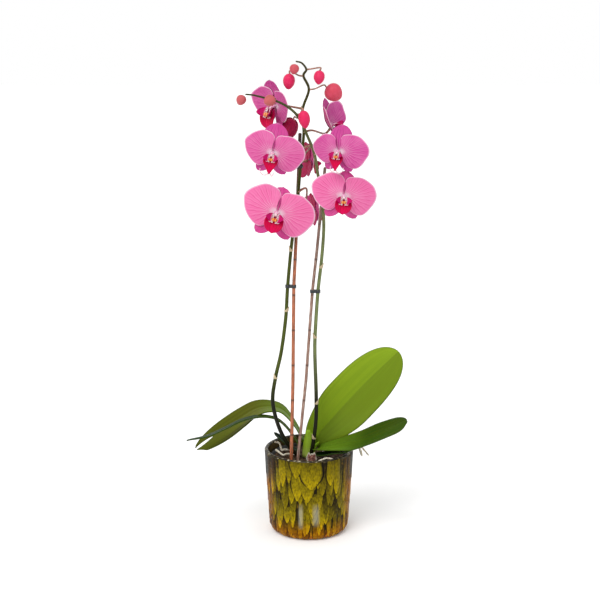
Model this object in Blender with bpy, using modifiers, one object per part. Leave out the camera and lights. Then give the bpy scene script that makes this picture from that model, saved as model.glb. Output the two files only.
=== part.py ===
"""A potted moth orchid with two flower spikes, in a glazed pot, as separate closed pieces.

Metres, +Z up. The origin is the centre of the pot's foot, and the flowers mostly face -Y.
Run it with: blender --background --python part.py
"""

import math

import bmesh
import bpy
from mathutils import Matrix, Vector

# ---------------------------------------------------------------------------
# Driving dimensions
# ---------------------------------------------------------------------------
GAP = 0.0004  # air left between pieces that rest on or grow from each other

POT_HEIGHT = 0.1275
POT_RIM_RADIUS = 0.067
POT_WAIST_RADIUS = 0.0595  # where the straight wall meets the rounded heel
POT_HEEL = 0.0115  # radius of the rounding between wall and foot
POT_WALL = 0.0055
POT_FLOOR = 0.007

LINER_TOP_RADIUS = 0.0565
LINER_FOOT_RADIUS = 0.043
LINER_HEIGHT = 0.1085
LINER_WALL = 0.0011
LINER_FLANGE = 0.0022  # how far the rolled rim stands out

BARK_TOP = 0.1125
BARK_BUMP = 0.0012

CROWN_CENTRE = Vector((0.000, 0.000, 0.1165))
CROWN_SIZE = Vector((0.0085, 0.0065, 0.013))  # half axes

CLIP_HEIGHT = 0.0045
CLIP_WALL = 0.0013

PETAL_THICKNESS = 0.0009
SEPAL_BEHIND = 0.0021  # the sepals' sheet lies this far behind the petals'
LIP_AHEAD = 0.0021  # and the lip's sheet starts this far in front of it

# Each spike: a route of (x, y, z, radius) from the crown to the last bud.
SPIKES = {
    "left": [
        (-0.0150, -0.0100, 0.1165, 0.0030),
        (-0.0286, -0.0165, 0.1325, 0.0030),
        (-0.0445, -0.0230, 0.1650, 0.0030),
        (-0.0540, -0.0230, 0.2050, 0.0029),
        (-0.0500, -0.0190, 0.2410, 0.0028),
        (-0.0414, -0.0120, 0.2790, 0.0027),
        (-0.0346, -0.0070, 0.3300, 0.0027),
        (-0.0317, -0.0035, 0.3768, 0.0026),
        (-0.0255, -0.0030, 0.4420, 0.0025),
        (-0.0185, -0.0020, 0.4890, 0.0025),
        (-0.0145, -0.0020, 0.5340, 0.0023),
        (-0.0115, -0.0010, 0.5680, 0.0022),
        (-0.0082, 0.0000, 0.5990, 0.0021),
        (-0.0097, 0.0000, 0.6330, 0.0020),
        (-0.0010, 0.0010, 0.6610, 0.0019),
        (-0.0087, 0.0010, 0.6800, 0.0018),
        (-0.0046, 0.0000, 0.6890, 0.0016),
        (-0.0110, -0.0010, 0.6980, 0.0013),
        (-0.0190, -0.0045, 0.7004, 0.0011),
    ],
    "right": [
        (0.0035, -0.0115, 0.1230, 0.0030),
        (0.0070, -0.0130, 0.1440, 0.0029),
        (0.0104, -0.0130, 0.1770, 0.0028),
        (0.0105, -0.0115, 0.2150, 0.0028),
        (0.0085, -0.0080, 0.2740, 0.0027),
        (0.0090, -0.0060, 0.3080, 0.0027),
        (0.0128, -0.0040, 0.3685, 0.0026),
        (0.0175, -0.0030, 0.4110, 0.0025),
        (0.0208, -0.0020, 0.4540, 0.0024),
        (0.0205, -0.0010, 0.4840, 0.0024),
        (0.0177, -0.0020, 0.5090, 0.0023),
        (0.0125, -0.0050, 0.5390, 0.0022),
        (0.0067, -0.0080, 0.5720, 0.0021),
        (-0.0030, -0.0105, 0.5960, 0.0020),
        (-0.0100, -0.0125, 0.6120, 0.0020),
        (-0.0190, -0.0150, 0.6270, 0.0019),
        (-0.0320, -0.0180, 0.6380, 0.0018),
        (-0.0470, -0.0200, 0.6455, 0.0017),
        (-0.0650, -0.0210, 0.6505, 0.0015),
        (-0.0800, -0.0220, 0.6540, 0.0013),
        (-0.0900, -0.0225, 0.6550, 0.0011),
    ],
}

# Each bamboo stake: a route of (x, y, z, radius) from its foot in the bark to its top.
STAKES = {
    "left": [
        (-0.0275, -0.0290, 0.0400, 0.0026),
        (-0.0266, -0.0300, 0.1221, 0.0026),
        (-0.0240, -0.0180, 0.2377, 0.0026),
        (-0.0227, -0.0050, 0.3756, 0.0026),
        (-0.0194, 0.0030, 0.4446, 0.0026),
        (-0.0136, 0.0090, 0.5977, 0.0026),
    ],
    "right": [
        (-0.0190, -0.0330, 0.0400, 0.0023),
        (-0.0166, -0.0320, 0.1220, 0.0023),
        (-0.0047, -0.0180, 0.2377, 0.0023),
        (0.0048, -0.0040, 0.3709, 0.0023),
        (0.0113, 0.0015, 0.4298, 0.0023),
        (0.0226, 0.0060, 0.5490, 0.0023),
    ],
}

# Heights at which a clip holds each spike to its stake.
CLIPS = {
    "clip_left_lower": ("left", 0.3765),
    "clip_left_upper": ("left", 0.5520),
    "clip_right_lower": ("right", 0.3690),
    "clip_right_upper": ("right", 0.5180),
}

# Each open flower: centre, yaw (0 faces -Y, + turns to +X), pitch (+ looks up), roll (+ clockwise from
# the front), petal length, how far the petals sweep back at their tips and how long the upright sepal
# is (both as shares of the petal length), which spike bears it, and its node's height on that spike.
FLOWERS = {
    "flower_low_left": ((-0.0465, -0.045, 0.4895), -4, 2, 14, 0.0515, 0.16, 0.74, "left", 0.496),
    "flower_mid_left": ((-0.0519, -0.042, 0.5735), -8, -4, 9, 0.0425, 0.18, 1.00, "left", 0.563),
    "flower_top_left": ((-0.0490, 0.023, 0.6360), -48, -6, 6, 0.0400, -0.30, 1.00, "left", 0.634),
    "flower_low_right": ((0.0477, -0.043, 0.5130), 3, 2, 6, 0.0455, 0.16, 0.80, "right", 0.496),
    "flower_mid_right": ((0.0412, -0.043, 0.5760), -20, 0, 5, 0.0400, 0.16, 0.95, "right", 0.570),
    "flower_top_right": ((0.0325, 0.028, 0.6060), 62, 38, -16, 0.0370, -0.55, 1.05, "left", 0.601),
    "flower_mid_back": ((0.0000, 0.044, 0.5560), 112, -4, 10, 0.0350, 0.20, 0.80, "left", 0.578),
    "flower_low_back": ((0.0085, 0.046, 0.4830), 112, 2, 0, 0.0320, 0.20, 0.80, "left", 0.516),
}

# Each bud: centre, direction in which its stalk leaves it, length, width, which spike, node height.
BUDS = {
    "bud_left_tip": ((-0.0965, -0.0230, 0.6470), (0.45, 0.0, 0.9), 0.0150, 0.0140, "right", None),
    "bud_left_second": ((-0.0563, -0.0330, 0.6465), (0.75, 0.55, 0.25), 0.0170, 0.0160, "right", 0.6445),
    "bud_centre": ((-0.0073, -0.0255, 0.6200), (-0.15, 0.10, 1.0), 0.0255, 0.0165, "right", 0.6270),
    "bud_top_left": ((-0.0293, 0.0060, 0.6722), (0.10, 0.0, 1.0), 0.0225, 0.0170, "left", 0.6800),
    "bud_top": ((-0.0217, -0.0085, 0.6895), (0.25, 0.2, 1.0), 0.0145, 0.0135, "left", None),
    "bud_top_right": ((0.0135, -0.0110, 0.6780), (0.12, 0.1, 1.0), 0.0200, 0.0155, "left", 0.6890),
    "bud_right": ((0.0345, 0.0050, 0.6565), (-0.80, 0.0, 0.60), 0.0265, 0.0255, "left", 0.6610),
    "bud_opening": ((-0.0300, 0.0250, 0.6055), (0.45, -0.2, 0.85), 0.0290, 0.0235, "left", 0.6200),
}

# Each leaf: route of its midrib, full width, the base's share of that width, half-fold angle in degrees
# at base and tip, and the direction across the blade at the base and at the tip.
LEAVES = {
    "leaf_upright_right": (
        [
            (0.0065, 0.0115, 0.1270), (0.0175, 0.0150, 0.1465), (0.0370, 0.0180, 0.1690),
            (0.0590, 0.0220, 0.1930), (0.0940, 0.0260, 0.2290), (0.1350, 0.0260, 0.2700),
        ],
        0.074, 0.40, 14, 6, (-0.72, 0.20, 0.66), (-0.74, 0.10, 0.66),
    ),
    "leaf_low_right": (
        [
            (0.0140, -0.0040, 0.1270), (0.0315, -0.0140, 0.1350), (0.0581, -0.0240, 0.1440),
            (0.0785, -0.0320, 0.1510), (0.1045, -0.0400, 0.1650), (0.1259, -0.0470, 0.1780),
            (0.1420, -0.0520, 0.1865),
        ],
        0.054, 0.40, 12, 8, (0.40, 0.92, 0.12), (0.30, 0.93, 0.16),
    ),
    "leaf_under_right": (
        [
            (0.0100, -0.0175, 0.1215), (0.0283, -0.0240, 0.1250), (0.0460, -0.0290, 0.1305),
            (0.0650, -0.0330, 0.1360),
        ],
        0.028, 0.50, 12, 8, (0.30, 0.92, 0.02), (0.30, 0.92, 0.10),
    ),
    "leaf_arching_back": (
        [
            (-0.0080, 0.0090, 0.1310), (-0.0182, 0.0140, 0.1530), (-0.0319, 0.0210, 0.1712),
            (-0.0457, 0.0260, 0.1810), (-0.0656, 0.0280, 0.1828), (-0.0824, 0.0260, 0.1796),
            (-0.1005, 0.0210, 0.1700), (-0.1230, 0.0130, 0.1568), (-0.1468, 0.0030, 0.1425),
            (-0.1710, -0.0080, 0.1265),
        ],
        0.056, 0.34, 10, 8, (0.10, 0.98, -0.10), (-0.20, 0.84, 0.50),
    ),
    "leaf_arching_front": (
        [
            (-0.0125, -0.0010, 0.1270), (-0.0287, -0.0040, 0.1540), (-0.0422, -0.0060, 0.1690),
            (-0.0557, -0.0090, 0.1762), (-0.0766, -0.0150, 0.1790), (-0.1003, -0.0230, 0.1755),
            (-0.1253, -0.0310, 0.1660), (-0.1515, -0.0380, 0.1570), (-0.1805, -0.0440, 0.1530),
        ],
        0.024, 0.45, 8, 6, (0.10, 0.98, -0.12), (-0.10, 0.97, -0.18),
    ),
    "leaf_small_left": (
        [
            (-0.0145, 0.0075, 0.1190), (-0.0258, 0.0120, 0.1225), (-0.0365, 0.0170, 0.1295),
            (-0.0442, 0.0205, 0.1355), (-0.0529, 0.0240, 0.1427),
        ],
        0.012, 0.60, 12, 10, (0.35, 0.90, 0.05), (0.35, 0.90, 0.05),
    ),
}
LEAF_THICKNESS = 0.0016

# Each aerial root: its route over the bark, and its radius.
ROOTS = {
    "root_left_rear": (
        [
            (-0.0240, 0.0180, 0.1160), (-0.0370, 0.0120, 0.1195), (-0.0415, 0.0110, 0.1190),
            (-0.0435, 0.0170, 0.1235), (-0.0460, 0.0200, 0.1275), (-0.0520, 0.0220, 0.1280),
        ],
        0.0017,
    ),
    "root_left_front": (
        [
            (-0.0200, 0.0000, 0.1155), (-0.0330, -0.0040, 0.1180), (-0.0390, -0.0080, 0.1175),
            (-0.0440, -0.0050, 0.1200), (-0.0500, 0.0010, 0.1225),
        ],
        0.0017,
    ),
    "root_front_right": (
        [
            (0.0150, -0.0290, 0.1150), (0.0250, -0.0330, 0.1210), (0.0330, -0.0370, 0.1215),
            (0.0390, -0.0330, 0.1180),
        ],
        0.0017,
    ),
    "root_over_rim": (
        [
            (0.0220, 0.0160, 0.1150), (0.0400, 0.0220, 0.1190), (0.0580, 0.0180, 0.1290),
            (0.0690, 0.0120, 0.1335), (0.0760, 0.0040, 0.1270), (0.0800, -0.0060, 0.1160),
        ],
        0.0021,
    ),
}

# Colours and finishes: base colour, roughness.
FINISHES = {
    "glaze": ((0.25, 0.20, 0.03), 0.18),
    "liner_plastic": ((0.02, 0.02, 0.02), 0.45),
    "bark": ((0.10, 0.05, 0.025), 0.9),
    "leaf": ((0.13, 0.27, 0.04), 0.35),
    "stem": ((0.12, 0.17, 0.04), 0.45),
    "petal": ((0.85, 0.20, 0.48), 0.5),
    "sepal": ((0.62, 0.08, 0.36), 0.5),
    "lip": ((0.75, 0.01, 0.10), 0.4),
    "bud": ((0.75, 0.07, 0.16), 0.5),
    "bamboo": ((0.42, 0.13, 0.06), 0.55),
    "clip_plastic": ((0.02, 0.03, 0.03), 0.4),
    "root": ((0.66, 0.58, 0.40), 0.7),
    "crown": ((0.30, 0.34, 0.10), 0.6),
}


# ---------------------------------------------------------------------------
# Scene helpers
# ---------------------------------------------------------------------------
def clear_scene():
    for old in list(bpy.data.objects):
        bpy.data.objects.remove(old, do_unlink=True)


def new_collection(name):
    made = bpy.data.collections.new(name)
    bpy.context.scene.collection.children.link(made)
    return made


def material(name):
    found = bpy.data.materials.get(name)
    if found:
        return found
    colour, roughness = FINISHES[name]
    made = bpy.data.materials.new(name)
    made.use_nodes = True
    shader = made.node_tree.nodes["Principled BSDF"]
    shader.inputs["Base Color"].default_value = (*colour, 1.0)
    shader.inputs["Roughness"].default_value = roughness
    shader.inputs["Metallic"].default_value = 0.0
    return made


def add_object(name, data, finish, collection):
    made = bpy.data.objects.new(name, data)
    data.materials.append(material(finish))
    collection.objects.link(made)
    return made


def mesh_from(bm, name):
    mesh = bpy.data.meshes.new(name)
    bm.to_mesh(mesh)
    bm.free()
    return mesh


def solidify(obj, thickness):
    wall = obj.modifiers.new("thickness", "SOLIDIFY")
    wall.thickness = thickness
    wall.offset = 0.0


def frozen(obj):
    """The evaluated object as a plain mesh object with its caps welded; the original is removed."""
    bpy.context.view_layer.update()
    graph = bpy.context.evaluated_depsgraph_get()
    mesh = bpy.data.meshes.new_from_object(obj.evaluated_get(graph))
    bm = bmesh.new()
    bm.from_mesh(mesh)
    bmesh.ops.remove_doubles(bm, verts=bm.verts, dist=1e-6)
    bmesh.ops.recalc_face_normals(bm, faces=bm.faces)
    bm.to_mesh(mesh)
    bm.free()
    name, collection, world = obj.name, obj.users_collection[0], obj.matrix_world.copy()
    bpy.data.objects.remove(obj, do_unlink=True)
    made = bpy.data.objects.new(name, mesh)
    made.matrix_world = world
    collection.objects.link(made)
    return made


def boolean(target, other, operation):
    step = target.modifiers.new(operation.lower(), "BOOLEAN")
    step.operation = operation
    step.solver = "EXACT"
    step.object = other


def as_cutter(obj):
    obj.hide_render = True
    obj.display_type = "WIRE"
    return obj


# ---------------------------------------------------------------------------
# Curves
# ---------------------------------------------------------------------------
def smooth_route(points, per_span):
    """Points along a Catmull-Rom curve through the given ones; each may carry a radius after x, y, z."""
    ends = [[2 * a - b for a, b in zip(points[0], points[1])]]
    ends += [list(p) for p in points]
    ends += [[2 * a - b for a, b in zip(points[-1], points[-2])]]
    made = []
    for i in range(1, len(ends) - 2):
        p0, p1, p2, p3 = ends[i - 1 : i + 3]
        for k in range(per_span):
            t = k / per_span
            made.append([
                0.5 * (2 * b + (c - a) * t + (2 * a - 5 * b + 4 * c - d) * t * t
                       + (3 * b - a - 3 * c + d) * t ** 3)
                for a, b, c, d in zip(p0, p1, p2, p3)
            ])
    made.append(list(points[-1]))
    return made


def tube(name, route, finish, collection, resolution):
    """A round tube along (x, y, z, radius) points, with closed ends."""
    data = bpy.data.curves.new(name, "CURVE")
    data.dimensions = "3D"
    data.bevel_depth = 1.0
    data.bevel_resolution = resolution
    data.use_fill_caps = True
    spline = data.splines.new("POLY")
    spline.points.add(len(route) - 1)
    for point, (x, y, z, radius) in zip(spline.points, route):
        point.co = (x, y, z, 1.0)
        point.radius = radius
    return add_object(name, data, finish, collection)


def along(route, share):
    """The point and direction at a share of the way along a route."""
    place = share * (len(route) - 1)
    step = min(int(place), len(route) - 2)
    start, end = Vector(route[step][:3]), Vector(route[step + 1][:3])
    return start.lerp(end, place - step), (end - start).normalized()


def at_height(route, height):
    """The point and direction where a rising route first reaches a height."""
    for low, high in zip(route, route[1:]):
        if low[2] <= height <= high[2]:
            share = (height - low[2]) / (high[2] - low[2])
            start, end = Vector(low[:3]), Vector(high[:3])
            return start.lerp(end, share), (end - start).normalized()
    raise ValueError(f"the route never reaches {height}")


# ---------------------------------------------------------------------------
# Pot, liner and bark
# ---------------------------------------------------------------------------
def turned(name, profile, steps, finish, collection):
    """A profile of (radius, height) points turned about Z; it runs down its outer side."""
    bm = bmesh.new()
    rows = [bm.verts.new((radius, 0.0, height)) for radius, height in profile]
    for a, b in zip(rows, rows[1:]):
        bm.edges.new((a, b))
    obj = add_object(name, mesh_from(bm, name), finish, collection)
    screw = obj.modifiers.new("turn", "SCREW")
    screw.axis = "Z"
    screw.steps = screw.render_steps = steps
    screw.use_merge_vertices = True
    screw.merge_threshold = 0.00005
    screw.use_smooth_shade = True
    return obj


def arc(centre, radius, start, end, count):
    """Points on an arc in the profile's plane, with angles in degrees from +X."""
    angles = [math.radians(start + (end - start) * i / count) for i in range(count + 1)]
    return [(centre[0] + radius * math.cos(a), centre[1] + radius * math.sin(a)) for a in angles]


def pot_profile():
    inner_rim = POT_RIM_RADIUS - POT_WALL
    inner_waist = POT_WAIST_RADIUS - POT_WALL
    inner_heel = POT_HEEL - 0.004
    half_wall = POT_WALL / 2
    profile = [(0.0, POT_FLOOR)]
    profile += arc((inner_waist - inner_heel, POT_FLOOR + inner_heel), inner_heel, -90, 0, 3)
    profile += arc((inner_rim + half_wall, POT_HEIGHT - half_wall), half_wall, 180, 0, 4)
    profile += arc((POT_WAIST_RADIUS - POT_HEEL, POT_HEEL), POT_HEEL, 0, -90, 4)
    profile += [(0.0, 0.0)]
    return profile


def liner_profile():
    foot, top = POT_FLOOR + GAP, POT_FLOOR + GAP + LINER_HEIGHT
    return [
        (0.0, foot + LINER_WALL),
        (LINER_FOOT_RADIUS - LINER_WALL, foot + LINER_WALL),
        (LINER_TOP_RADIUS - LINER_WALL, top),
        (LINER_TOP_RADIUS + LINER_FLANGE, top),
        (LINER_TOP_RADIUS + LINER_FLANGE, top - LINER_FLANGE),
        (LINER_TOP_RADIUS, top - LINER_FLANGE),
        (LINER_FOOT_RADIUS, foot),
        (0.0, foot),
    ]


def bark_bump(x, y):
    return BARK_BUMP * (math.sin(210 * x + 1.3) * math.cos(180 * y) + 0.6 * math.sin(330 * y - 150 * x))


def make_bark(parts, cutters):
    foot = POT_FLOOR + GAP + LINER_WALL + GAP
    liner_foot, liner_top = POT_FLOOR + GAP, POT_FLOOR + GAP + LINER_HEIGHT
    slope = (LINER_TOP_RADIUS - LINER_FOOT_RADIUS) / (liner_top - liner_foot)

    def radius_at(height):
        return LINER_FOOT_RADIUS - LINER_WALL - GAP - 0.0002 + slope * (height - liner_foot)

    edge = BARK_TOP - 0.003
    rings = [radius_at(edge) * share for share in (0.0, 0.3, 0.55, 0.8)]
    profile = [(ring, BARK_TOP) for ring in rings]
    profile += [(radius_at(edge), edge), (radius_at(foot), foot), (0.0, foot)]
    bark = frozen(turned("potting_bark", profile, 24, "bark", parts))
    for vertex in bark.data.vertices:
        if vertex.co.z > BARK_TOP - 0.0005:
            vertex.co.z += bark_bump(vertex.co.x, vertex.co.y)
    for side in STAKES:
        hole = frozen(stake(f"stake_hole_{side}", side, GAP, cutters))
        boolean(bark, as_cutter(hole), "DIFFERENCE")
    pocket = ellipsoid("crown_pocket", CROWN_CENTRE, CROWN_SIZE * 1.08, "bark", cutters)
    boolean(bark, as_cutter(pocket), "DIFFERENCE")
    return bark


# ---------------------------------------------------------------------------
# Crown, stakes and clips
# ---------------------------------------------------------------------------
def ellipsoid(name, centre, half_axes, finish, collection):
    bm = bmesh.new()
    bmesh.ops.create_uvsphere(bm, u_segments=14, v_segments=8, radius=1.0)
    bmesh.ops.scale(bm, vec=half_axes, verts=bm.verts)
    obj = add_object(name, mesh_from(bm, name), finish, collection)
    obj.data.shade_smooth()
    obj.location = centre
    return obj


def stake(name, side, allowance, collection):
    """A cane along its route; an allowance makes the cutter that leaves room for it."""
    foot, *rest = STAKES[side]
    foot = (*foot[:2], foot[2] - allowance, foot[3])
    route = [(x, y, z, radius + allowance) for x, y, z, radius in smooth_route([foot, *rest], 1)]
    return tube(name, route, "bamboo", collection, 1)


def clip(name, side, height, collection):
    """A flat figure-of-eight of springy plastic round a spike and its stake."""
    on_spike, _ = at_height(SPIKES[side], height)
    on_stake, _ = at_height(STAKES[side], height)
    across = Vector((on_stake.x - on_spike.x, on_stake.y - on_spike.y, 0.0))
    half = across.length / 2
    slack = 0.0007  # room for the cane and the spike to lean through the clip
    hole_radius = min(0.0026 + slack, half - 0.0003)
    outline = arc((half, 0.0), hole_radius + CLIP_WALL, -90, 90, 6)
    outline += arc((-half, 0.0), hole_radius + CLIP_WALL, 90, 270, 6)
    holes = [arc((x, 0.0), hole_radius, 0, 324, 9) for x in (-half, half)]
    data = bpy.data.curves.new(name, "CURVE")
    data.dimensions = "2D"
    data.fill_mode = "BOTH"
    data.extrude = CLIP_HEIGHT / 2
    for ring in [outline, *holes]:
        spline = data.splines.new("POLY")
        spline.points.add(len(ring) - 1)
        spline.use_cyclic_u = True
        for point, (x, y) in zip(spline.points, ring):
            point.co = (x, y, 0.0, 1.0)
    obj = add_object(name, data, "clip_plastic", collection)
    obj.location = (on_stake + on_spike) / 2
    obj.rotation_euler.z = math.atan2(across.y, across.x)
    return obj


# ---------------------------------------------------------------------------
# Leaves
# ---------------------------------------------------------------------------
def blade_share(t, base):
    """The blade's width along its length, as a share of the full width: narrow base, round tip."""
    widest = 0.62
    if t < widest:
        rise = t / widest
        return base + (1 - base) * math.sin(rise * math.pi / 2) ** 1.3
    return math.sqrt(max(0.0, 1 - ((t - widest) / (1 - widest)) ** 2.4))


def make_leaf(name, collection):
    route, width, base, fold_base, fold_tip, side_base, side_tip = LEAVES[name]
    midrib = smooth_route(route, 6)
    last = 10
    columns = (-1.0, -0.55, 0.0, 0.55, 1.0)
    bm = bmesh.new()
    bmesh.ops.create_grid(bm, x_segments=last, y_segments=len(columns) - 1, size=0.5)
    for vertex in bm.verts:
        t = 1 - (0.5 - vertex.co.x) ** 1.5  # the rows draw together at the rounded tip
        across = columns[round((vertex.co.y + 0.5) * (len(columns) - 1))]
        here, tangent = along(midrib, t)
        side = Vector(side_base).lerp(Vector(side_tip), t)
        side = (side - tangent * side.dot(tangent)).normalized()
        normal = side.cross(tangent)
        if normal.z < 0:
            normal = -normal
        fold = math.radians(fold_base + (fold_tip - fold_base) * t)
        reach = across * width / 2 * max(blade_share(t, base), 0.15)
        vertex.co = here + side * reach * math.cos(fold) + normal * abs(reach) * math.sin(fold)
    bmesh.ops.recalc_face_normals(bm, faces=bm.faces)
    obj = add_object(name, mesh_from(bm, name), "leaf", collection)
    obj.data.shade_smooth()
    solidify(obj, LEAF_THICKNESS)
    return obj


# ---------------------------------------------------------------------------
# Flowers
# ---------------------------------------------------------------------------
def flower_matrix(centre, yaw, pitch, roll):
    """The flower's frame: X to its right as seen from the front, Y up, Z the way it faces."""
    turn = Matrix.Rotation(math.radians(yaw), 4, "Z")
    lean = Matrix.Rotation(math.radians(90 - pitch), 4, "X")
    spin = Matrix.Rotation(math.radians(-roll), 4, "Z")
    return Matrix.Translation(centre) @ turn @ lean @ spin


def fan(angle, middle, upper, lower, upper_power, lower_power):
    """The radius, from 0 to 1, of a fan-shaped petal at an angle in degrees from its own middle."""
    off = (angle - middle + 180) % 360 - 180
    span, power = (upper, upper_power) if off > 0 else (lower, lower_power)
    share = abs(off) / span
    return math.sqrt(1 - share ** power) if share < 1 else 0.0


def petals_radius(angle):
    """Two broad petals, mirror images, each a fan about a line a little above level."""
    mirrored = 180 - angle
    hub = 0.10
    return max(hub, fan(angle, 14, 84, 66, 2.0, 3.4), fan(mirrored, 14, 84, 66, 2.0, 3.4))


def oval(angle, middle, length, width):
    """The radius of an oval that starts at the centre and points along its middle angle."""
    off = math.radians((angle - middle + 180) % 360 - 180)
    if math.cos(off) <= 0:
        return 0.0
    a, b = length / 2, width / 2
    return 2 * a * b * b * math.cos(off) / ((b * math.cos(off)) ** 2 + (a * math.sin(off)) ** 2)


def sepals_radius(angle, dorsal):
    """Three sepals: one upright and two that point down and outwards, mostly hidden by the petals."""
    hub = 0.10
    sides = [oval(angle, middle, 0.74, 0.42) for middle in (236, 304)]
    return max(hub, oval(angle, 90, dorsal, 0.62 * dorsal), *sides)


def lip_radius(angle):
    """The lip: a shield with a point at the bottom and two low side lobes."""
    return max(0.05, oval(angle, 270, 0.50, 0.44), oval(angle, 205, 0.24, 0.20), oval(angle, 335, 0.24, 0.20))


def swept_depth(x, y, sweep):
    """How far a sheet of petals lies behind the flower's plane, for a petal of length 1."""
    return -sweep * (x * x + y * y) ** 0.9


def lip_depth(x, y, _):
    """The lip juts forward and dips down to its point."""
    down = max(0.0, -y)
    return 0.10 + 0.55 * down - 0.55 * down * down + 0.9 * x * x


def disc(name, radius_at, depth_at, sweep, rings, segments, turn_degrees):
    """A spun disc whose rings are pushed out to an outline, as an open sheet in a unit frame."""
    bm = bmesh.new()
    line = [bm.verts.new((ring, 0.0, 0.0)) for ring in (0.0, *rings)]
    edges = [bm.edges.new(pair) for pair in zip(line, line[1:])]
    bmesh.ops.spin(bm, geom=line + edges, cent=(0, 0, 0), axis=(0, 0, 1), angle=math.tau, steps=segments)
    bmesh.ops.remove_doubles(bm, verts=bm.verts, dist=1e-5)
    for vertex in bm.verts:
        share = vertex.co.to_2d().length
        if share < 1e-6:
            vertex.co.z = depth_at(0.0, 0.0, sweep)
            continue
        angle = math.degrees(math.atan2(vertex.co.y, vertex.co.x)) + turn_degrees
        reach = radius_at(angle) * share
        x, y = reach * math.cos(math.radians(angle)), reach * math.sin(math.radians(angle))
        vertex.co = (x, y, depth_at(x, y, sweep))
    bmesh.ops.recalc_face_normals(bm, faces=bm.faces)
    return mesh_from(bm, name)


def place_sheet(name, mesh, size, ahead, matrix, finish, collection):
    mesh.transform(Matrix.Translation((0, 0, ahead)) @ Matrix.Scale(size, 4))
    obj = add_object(name, mesh, finish, collection)
    obj.data.shade_smooth()
    solidify(obj, PETAL_THICKNESS)
    obj.matrix_world = matrix
    return obj


def make_flower(name, collection):
    centre, yaw, pitch, roll, size, sweep, dorsal, _, _ = FLOWERS[name]
    matrix = flower_matrix(centre, yaw, pitch, roll)

    def outline(angle):
        return sepals_radius(angle, dorsal)

    sepals = disc(f"{name}_sepals", outline, swept_depth, sweep, (0.35, 0.75, 1.0), 24, 0.0)
    place_sheet(f"{name}_sepals", sepals, size, -SEPAL_BEHIND, matrix, "sepal", collection)
    petals = disc(f"{name}_petals", petals_radius, swept_depth, sweep, (0.35, 0.75, 1.0), 26, 0.0)
    place_sheet(f"{name}_petals", petals, size, 0.0, matrix, "petal", collection)
    lip = disc(f"{name}_lip", lip_radius, lip_depth, 0.0, (0.5, 1.0), 14, 12.9)
    place_sheet(f"{name}_lip", lip, size, LIP_AHEAD, matrix, "lip", collection)


def flower_back(name):
    """Where a flower's stalk ends, just behind its sepals, and the direction the flower faces."""
    centre, yaw, pitch, roll, *_ = FLOWERS[name]
    facing = flower_matrix(centre, yaw, pitch, roll).to_3x3() @ Vector((0, 0, 1))
    return Vector(centre) - facing * (SEPAL_BEHIND + PETAL_THICKNESS / 2 + 4 * GAP), facing


# ---------------------------------------------------------------------------
# Buds
# ---------------------------------------------------------------------------
def make_bud(name, collection):
    """An egg-shaped bud, broader towards its stalk, turned about the line of its stalk."""
    centre, stalk, length, width, *_ = BUDS[name]
    count = 7
    profile = []
    for i in range(count + 1):
        angle = math.pi * i / count
        bulge = 1 + 0.12 * math.cos(angle)
        profile.append((width / 2 * math.sin(angle) * bulge, length / 2 * math.cos(angle)))
    profile[0], profile[-1] = (0.0, profile[0][1]), (0.0, profile[-1][1])
    obj = turned(name, profile, 10, "bud", collection)
    obj.rotation_mode = "QUATERNION"
    obj.rotation_quaternion = Vector(stalk).to_track_quat("Z", "Y")
    obj.location = centre
    return obj


def bud_stalk_end(name):
    centre, stalk, length, *_ = BUDS[name]
    away = Vector(stalk).normalized()
    return Vector(centre) + away * (length / 2 + GAP), -away


# ---------------------------------------------------------------------------
# Spikes with their flower stalks
# ---------------------------------------------------------------------------
def stalk_route(start, end, facing, start_radius, end_radius):
    """A stalk that leaves the spike sideways and swings round to meet the flower from behind."""
    reach = (end - start).length
    aside = Vector((math.copysign(min(0.012, 0.35 * reach), end.x - start.x), 0.0, 0.05 * reach))
    before = end - facing * min(0.012, 0.35 * reach)
    points = [start, start + aside, before, end]
    radii = (start_radius, start_radius, start_radius, end_radius)
    return smooth_route([(*point, radius) for point, radius in zip(points, radii)], 2)


def make_spike(side, collection):
    knots = SPIKES[side]
    route = smooth_route(knots, 2)
    spike = frozen(tube(f"spike_{side}", route, "stem", collection, 2))
    stalks = [
        (height, *flower_back(name), 0.0017, 0.0021)
        for name, (*_, bearer, height) in FLOWERS.items() if bearer == side
    ]
    stalks += [
        (height, *bud_stalk_end(name), 0.0011, 0.0013)
        for name, (*_, bearer, height) in BUDS.items() if bearer == side and height
    ]
    for number, (height, end, facing, start_radius, end_radius) in enumerate(stalks):
        start, _ = at_height(knots, height)
        path = stalk_route(start, end, facing, start_radius, end_radius)
        stalk = frozen(tube(f"stalk_{side}_{number}", path, "stem", collection, 1))
        boolean(spike, as_cutter(stalk), "UNION")
    return frozen(spike)


# ---------------------------------------------------------------------------
# The whole plant
# ---------------------------------------------------------------------------
def build():
    clear_scene()
    parts = new_collection("potted_orchid")
    cutters = new_collection("cutters")
    turned("pot", pot_profile(), 40, "glaze", parts)
    turned("nursery_pot", liner_profile(), 32, "liner_plastic", parts)
    make_bark(parts, cutters)
    ellipsoid("crown", CROWN_CENTRE, CROWN_SIZE, "crown", parts)
    for side in STAKES:
        stake(f"stake_{side}", side, 0.0, parts)
    for name in LEAVES:
        make_leaf(name, parts)
    for name, (route, radius) in ROOTS.items():
        tube(name, smooth_route([(*point, radius) for point in route], 3), "root", parts, 1)
    for side in SPIKES:
        make_spike(side, parts)
    for name, (side, height) in CLIPS.items():
        clip(name, side, height, parts)
    for name in FLOWERS:
        make_flower(name, parts)
    for name in BUDS:
        make_bud(name, parts)


build()
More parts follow.
